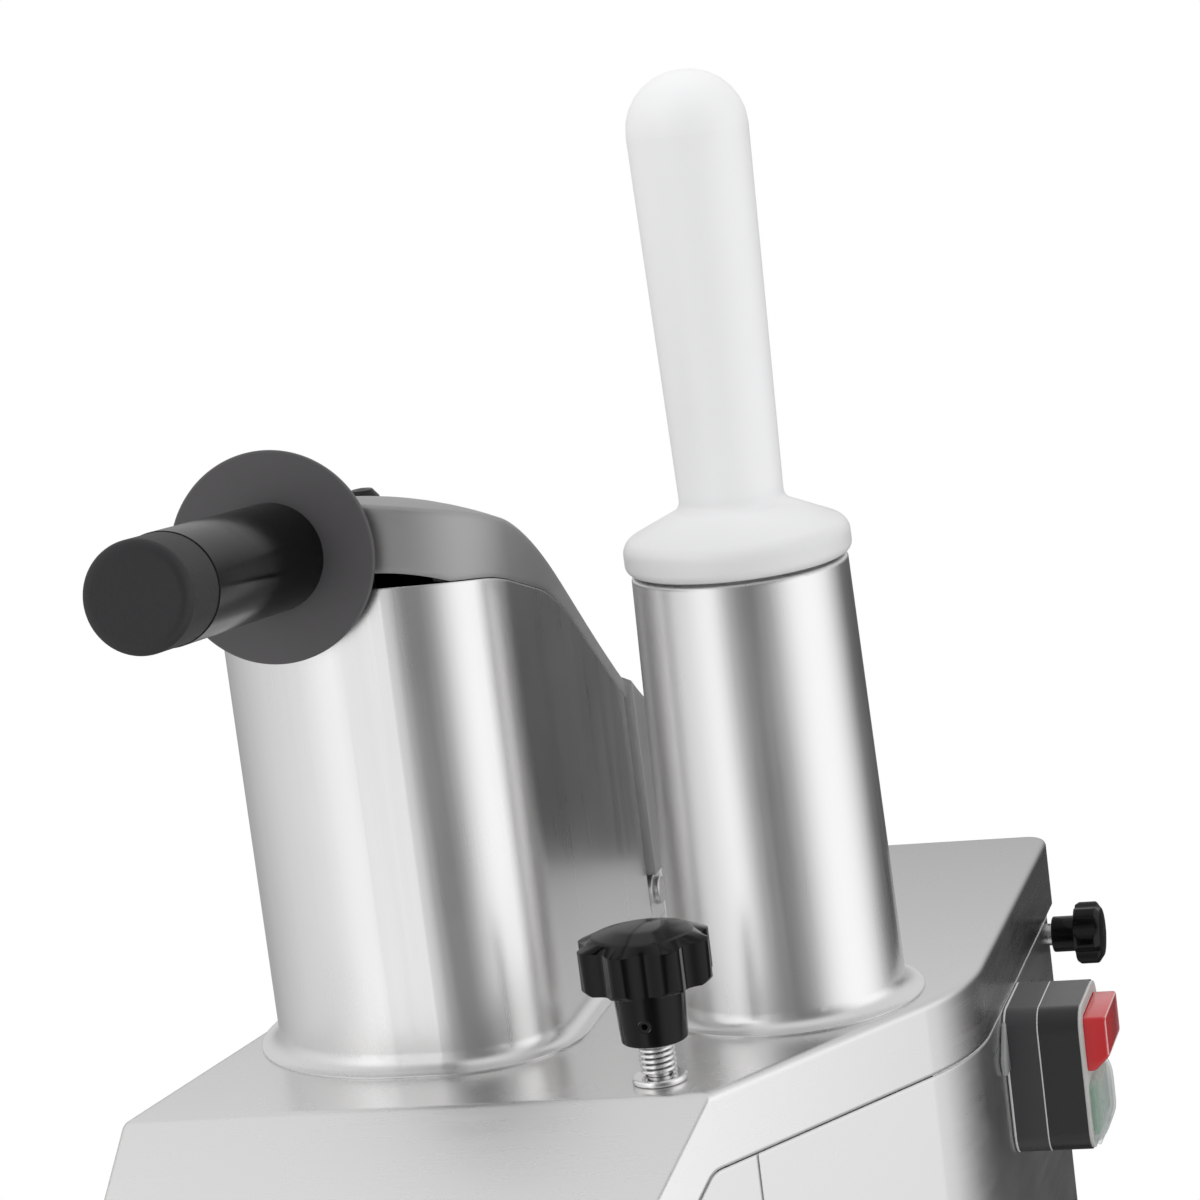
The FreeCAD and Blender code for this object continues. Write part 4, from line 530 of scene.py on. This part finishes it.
rim_height, rim_slack = -25.0, 0.05
seal_height, seal_inset, seal_front = -24.75, 0.24, -80
seal_middle = Vector((-56, 60))
rim_places = []
for vertex in node["body_casting"].data.vertices:
    from_origin = node["body_casting"].matrix_world @ vertex.co - lid_origin
    u, v, w = Matrix.Rotation(-slope, 3, "X") @ from_origin * 1000
    if abs(w - rim_height) < rim_slack:
        rim_places.append(Vector((u, v)))
rim = [rim_places[index] for index in convex_hull_2d(rim_places)]
start = next(index for index, place in enumerate(rim) if rim[index - 1].y < seal_front < place.y)
rim = rim[start:] + rim[:start]
seal_points = []
for index, place in enumerate(rim):
    if place.y > seal_front:
        along = rim[(index + 1) % len(rim)] - rim[index - 1]
        inward = Vector((-along.y, along.x)).normalized()
        drawn_in = place + inward * math.copysign(seal_inset, inward.dot(seal_middle - place))
        seal_points.append(on_lid(drawn_in.x, drawn_in.y, seal_height))
seal_mesh = grown(line_mesh("joint_seal", seal_points), bead_tree, Thickness=0.00023)
piece("joint_seal", seal_mesh, "base", bead_plastic)

# Start and stop switch
# A smoked back box and a glossy dark housing with a thin pale frame, sealed by a pale bead at each joint.
# The red stop key is a deep block with its lower outer edge cut away, and the green key is behind a bowed
# clear skin.
housing_plastic = moulded("switch_plastic", (0.02, 0.02, 0.021), 0.25, (500.0, 0.03), coat=0.15, shine=0.3)
frame_plastic = moulded("switch_frame_plastic", (0.6, 0.6, 0.58), 0.4)
red = moulded("stop_key_plastic", (0.6, 0.02, 0.026), 0.2, coat=0.5, speckle=0.05)
red_rim = moulded("stop_key_rim_plastic", (0.75, 0.42, 0.42), 0.25, coat=0.3, speckle=0.05)
green = moulded("start_key_plastic", (0.02, 0.24, 0.09), 0.26, coat=0.3, speckle=0.05)
smoked = moulded("smoked_box_plastic", (0.05, 0.051, 0.053), 0.42, (500.0, 0.02), shine=0.35)


def clear_plastic(name, tint, share):
    """Clear moulded plastic; share is how much of it looks solid face on, and its edges look more solid."""
    plastic = Finish(bpy.data.materials.new(name))
    place = plastic.node("ShaderNodeTexCoord", out="Object")
    ripple = plastic.node("ShaderNodeTexNoise", values={"Vector": place, "Scale": 60.0, "Detail": 2.0})
    edge = plastic.node("ShaderNodeLayerWeight", values={"Blend": 0.35}, out="Facing")
    relief = plastic.node("ShaderNodeBump", values={"Strength": 0.03, "Distance": 0.001, "Height": ripple})
    solid = plastic.node("ShaderNodeBsdfPrincipled", values={
        "Base Color": (*tint, 1), "Roughness": (ripple - 0.5) * 0.05 + 0.08, "Normal": relief})
    opened = plastic.node("ShaderNodeBsdfTransparent", values={"Color": (0.97, 0.98, 0.98, 1)})
    mixed = plastic.node("ShaderNodeMixShader", values={0: edge * 0.5 + share, 1: opened, 2: solid})
    plastic.node("ShaderNodeOutputMaterial", values={0: mixed})
    return plastic.owner


clear = clear_plastic("clear_cover_plastic", (0.7, 0.72, 0.72), 0.1)
dress(housing_plastic, "switch_housing", "switch_core")
dress(frame_plastic, "switch_bezel")
dress(green, "start_button")
dress(smoked, "switch_back_box")
flank, switch_front, switch_top = 60, 48, -25.1


def on_switch(along, up, out):
    """Point on the switch, in millimetres from its upper front corner.

    Along goes up the slope, up goes off the lid, and out goes away from the flank that it stands on.
    """
    return on_lid(flank + out, switch_front + along, switch_top + up)


def drawn_block(name, profile, ends, rounding):
    """Block whose side outline of (out, up) points is drawn from one end to the other along the slope."""
    block = bmesh.new()
    near, far = ([block.verts.new(on_switch(along, up, out)) for out, up in profile] for along in ends)
    block.faces.new(near)
    block.faces.new(reversed(far))
    for index in range(len(profile)):
        block.faces.new((near[index], near[index - 1], far[index - 1], far[index]))
    bmesh.ops.recalc_face_normals(block, faces=block.faces)
    bmesh.ops.bevel(block, geom=block.edges[:], offset=rounding / 1000, segments=4, profile=0.5,
                    affect="EDGES")
    mesh = bpy.data.meshes.new(name)
    block.to_mesh(mesh)
    block.free()
    return mesh


def loop_mesh(name, left, right, top, bottom, corner, out):
    """Closed line round a rounded rectangle on the switch."""
    corner_steps = 8
    points = []
    for across, up, begin in ((right - corner, top - corner, 0), (left + corner, top - corner, 90),
                              (left + corner, bottom + corner, 180), (right - corner, bottom + corner, 270)):
        for step in range(corner_steps + 1):
            angle = math.radians(begin + 90 * step / corner_steps)
            points.append(on_switch(across + corner * math.cos(angle), up + corner * math.sin(angle), out))
    return line_mesh(name, points, closed=True)


for name, out, thickness in (("wall_seal_bead", 0.8, 0.0005), ("housing_joint_bead", 12.1, 0.0004)):
    outline = loop_mesh(name, left=0.3, right=43.7, top=-0.3, bottom=-50.7, corner=7.7, out=out)
    piece(name, grown(outline, bead_tree, Thickness=thickness), "base", bead_plastic)

stop_profile = [(16.0, -4.5), (34.6, -4.5), (34.6, -18.6), (29.4, -23.5), (16.0, -23.5)]
stop_block = drawn_block("stop_key", stop_profile, ends=(6.5, 37.5), rounding=1.0)
stop_head = piece("stop_key", stop_block, "stop_key", red, ["stop_button"], 60)
# The brushed flank shows no image of the key either.
stop_head.visible_glossy = False
key_rim = loop_mesh("stop_key_rim", left=7.2, right=36.8, top=-5.2, bottom=-18.4, corner=1.2, out=34.2)
piece("stop_key_rim", grown(key_rim, bead_tree, Thickness=0.00045), "stop_key", red_rim)

skin_rings, skin_steps = 12, 64
skin_along, skin_up, skin_foot, skin_rise = 22, -38, 27.3, 4.5
half_length, half_height = 18.4, 11.4
skin_points = [on_switch(skin_along, skin_up, skin_foot + skin_rise)]
for ring in range(1, skin_rings + 1):
    spread = ring / skin_rings
    rise = skin_rise * (1 - spread ** 3.5) ** 0.6
    for step in range(skin_steps):
        angle = 2 * math.pi * step / skin_steps
        side, up = math.cos(angle), math.sin(angle)
        square = (abs(side) ** 6 + abs(up) ** 6) ** (-1 / 6)
        skin_points.append(on_switch(skin_along + half_length * spread * side * square,
                                     skin_up + half_height * spread * up * square, skin_foot + rise))
skin_faces = [(0, 1 + step, 1 + (step + 1) % skin_steps) for step in range(skin_steps)]
for ring in range(skin_rings - 1):
    inner, outer = 1 + ring * skin_steps, 1 + (ring + 1) * skin_steps
    for step in range(skin_steps):
        after = (step + 1) % skin_steps
        skin_faces.append((inner + step, outer + step, outer + after, inner + after))
skin_mesh = bpy.data.meshes.new("splash_skin")
skin_mesh.from_pydata(skin_points, [], skin_faces)
working = bmesh.new()
working.from_mesh(skin_mesh)
bmesh.ops.recalc_face_normals(working, faces=working.faces)
if sum(face.normal.x for face in working.faces) < 0:
    bmesh.ops.reverse_faces(working, faces=working.faces)
bmesh.ops.solidify(working, geom=working.faces, thickness=0.0008)
working.to_mesh(skin_mesh)
working.free()
piece("splash_skin", skin_mesh, "cover", clear, ["splash_cover"], 60)
barrel_outline = [(0, 0, 0), (0.8, 0, 0.2), (0.8, 27, 0.2), (0, 27, 0)]
barrel_frame = axis_frame(flank + 28.0, switch_front + 8.5, switch_top - 49.5, (0, 1, 0))
barrel_mesh = lathed("splash_skin_hinge", barrel_outline, barrel_frame, around=24)
piece("splash_skin_hinge", barrel_mesh, "cover", clear)

# Clear latch of the back box
# A flat tongue of clear plastic in front of the box, against the flank.
# It hooks the box on the body beside its upper front corner.
latch_clear = clear_plastic("clear_latch_plastic", (0.42, 0.43, 0.43), 0.55)
latch_outline = ((-0.3, -2.0), (-10.4, -13.0), (-9.2, -18.6), (-0.3, -19.4))
latch_sides = (0.3, 1.9)
latch_mesh = bpy.data.meshes.new("box_latch")
latch_block = bmesh.new()
low, high = (latch_block.faces.new([latch_block.verts.new(on_switch(along, up, out))
                                    for along, up in latch_outline]) for out in latch_sides)
bmesh.ops.bridge_loops(latch_block, edges=low.edges[:] + high.edges[:])
bmesh.ops.recalc_face_normals(latch_block, faces=latch_block.faces)
bmesh.ops.bevel(latch_block, geom=latch_block.edges[:], offset=0.0005, segments=2, profile=0.5,
                affect="EDGES")
latch_block.to_mesh(latch_mesh)
latch_block.free()
piece("box_latch", latch_mesh, "base", latch_clear, ["switch_latch"], 60)

# Cable gland on the back
# A black nylon gland whose dome nut has moulded ribs to grip it by; the supply cord isn't modelled.
# The capacitor and the lid switch inside the body have the same black nylon finish.
rib_steps = Steps("ribs_round_a_nut", {
    "Count": 18, "Radius": 0.0115, "Depth": 0.001, "Width": 0.0012, "Length": 0.008})
ring_of_places = rib_steps.node("GeometryNodeMeshCircle", {"fill_type": "NONE"}, {
    "Vertices": rib_steps.size("Count"), "Radius": rib_steps.size("Radius")})
rib_size = rib_steps.node("ShaderNodeCombineXYZ", values={
    0: rib_steps.size("Depth"), 1: rib_steps.size("Width"), 2: rib_steps.size("Length")})
rib = rib_steps.node("GeometryNodeMeshCube", values={"Size": rib_size})
outward = rib_steps.node("FunctionNodeAlignRotationToVector", {"axis": "X"}, {
    "Vector": rib_steps.node("GeometryNodeInputPosition")})
ribs = rib_steps.node("GeometryNodeInstanceOnPoints", values={
    "Points": ring_of_places, "Instance": rib, "Rotation": outward})
rib_tree = rib_steps.finish(ribs, gland_nylon)
rib_mesh = grown(bpy.data.meshes.new("gland_ribs"), rib_tree, Count=18)
gland_foot, nut_middle = (-120, 173.8, -280), (0, 0, 0.0085)
in_millimetres = Matrix.Diagonal((1000, 1000, 1000, 1))
gland_frame = axis_frame(*gland_foot, (0, 1, 0)) @ in_millimetres
rib_mesh.transform(gland_frame @ Matrix.Translation(nut_middle))
piece("gland_ribs", rib_mesh, "base", gland_nylon)
dress(gland_nylon, "cable_gland", "gland_nut", "capacitor", "lid_safety_switch")
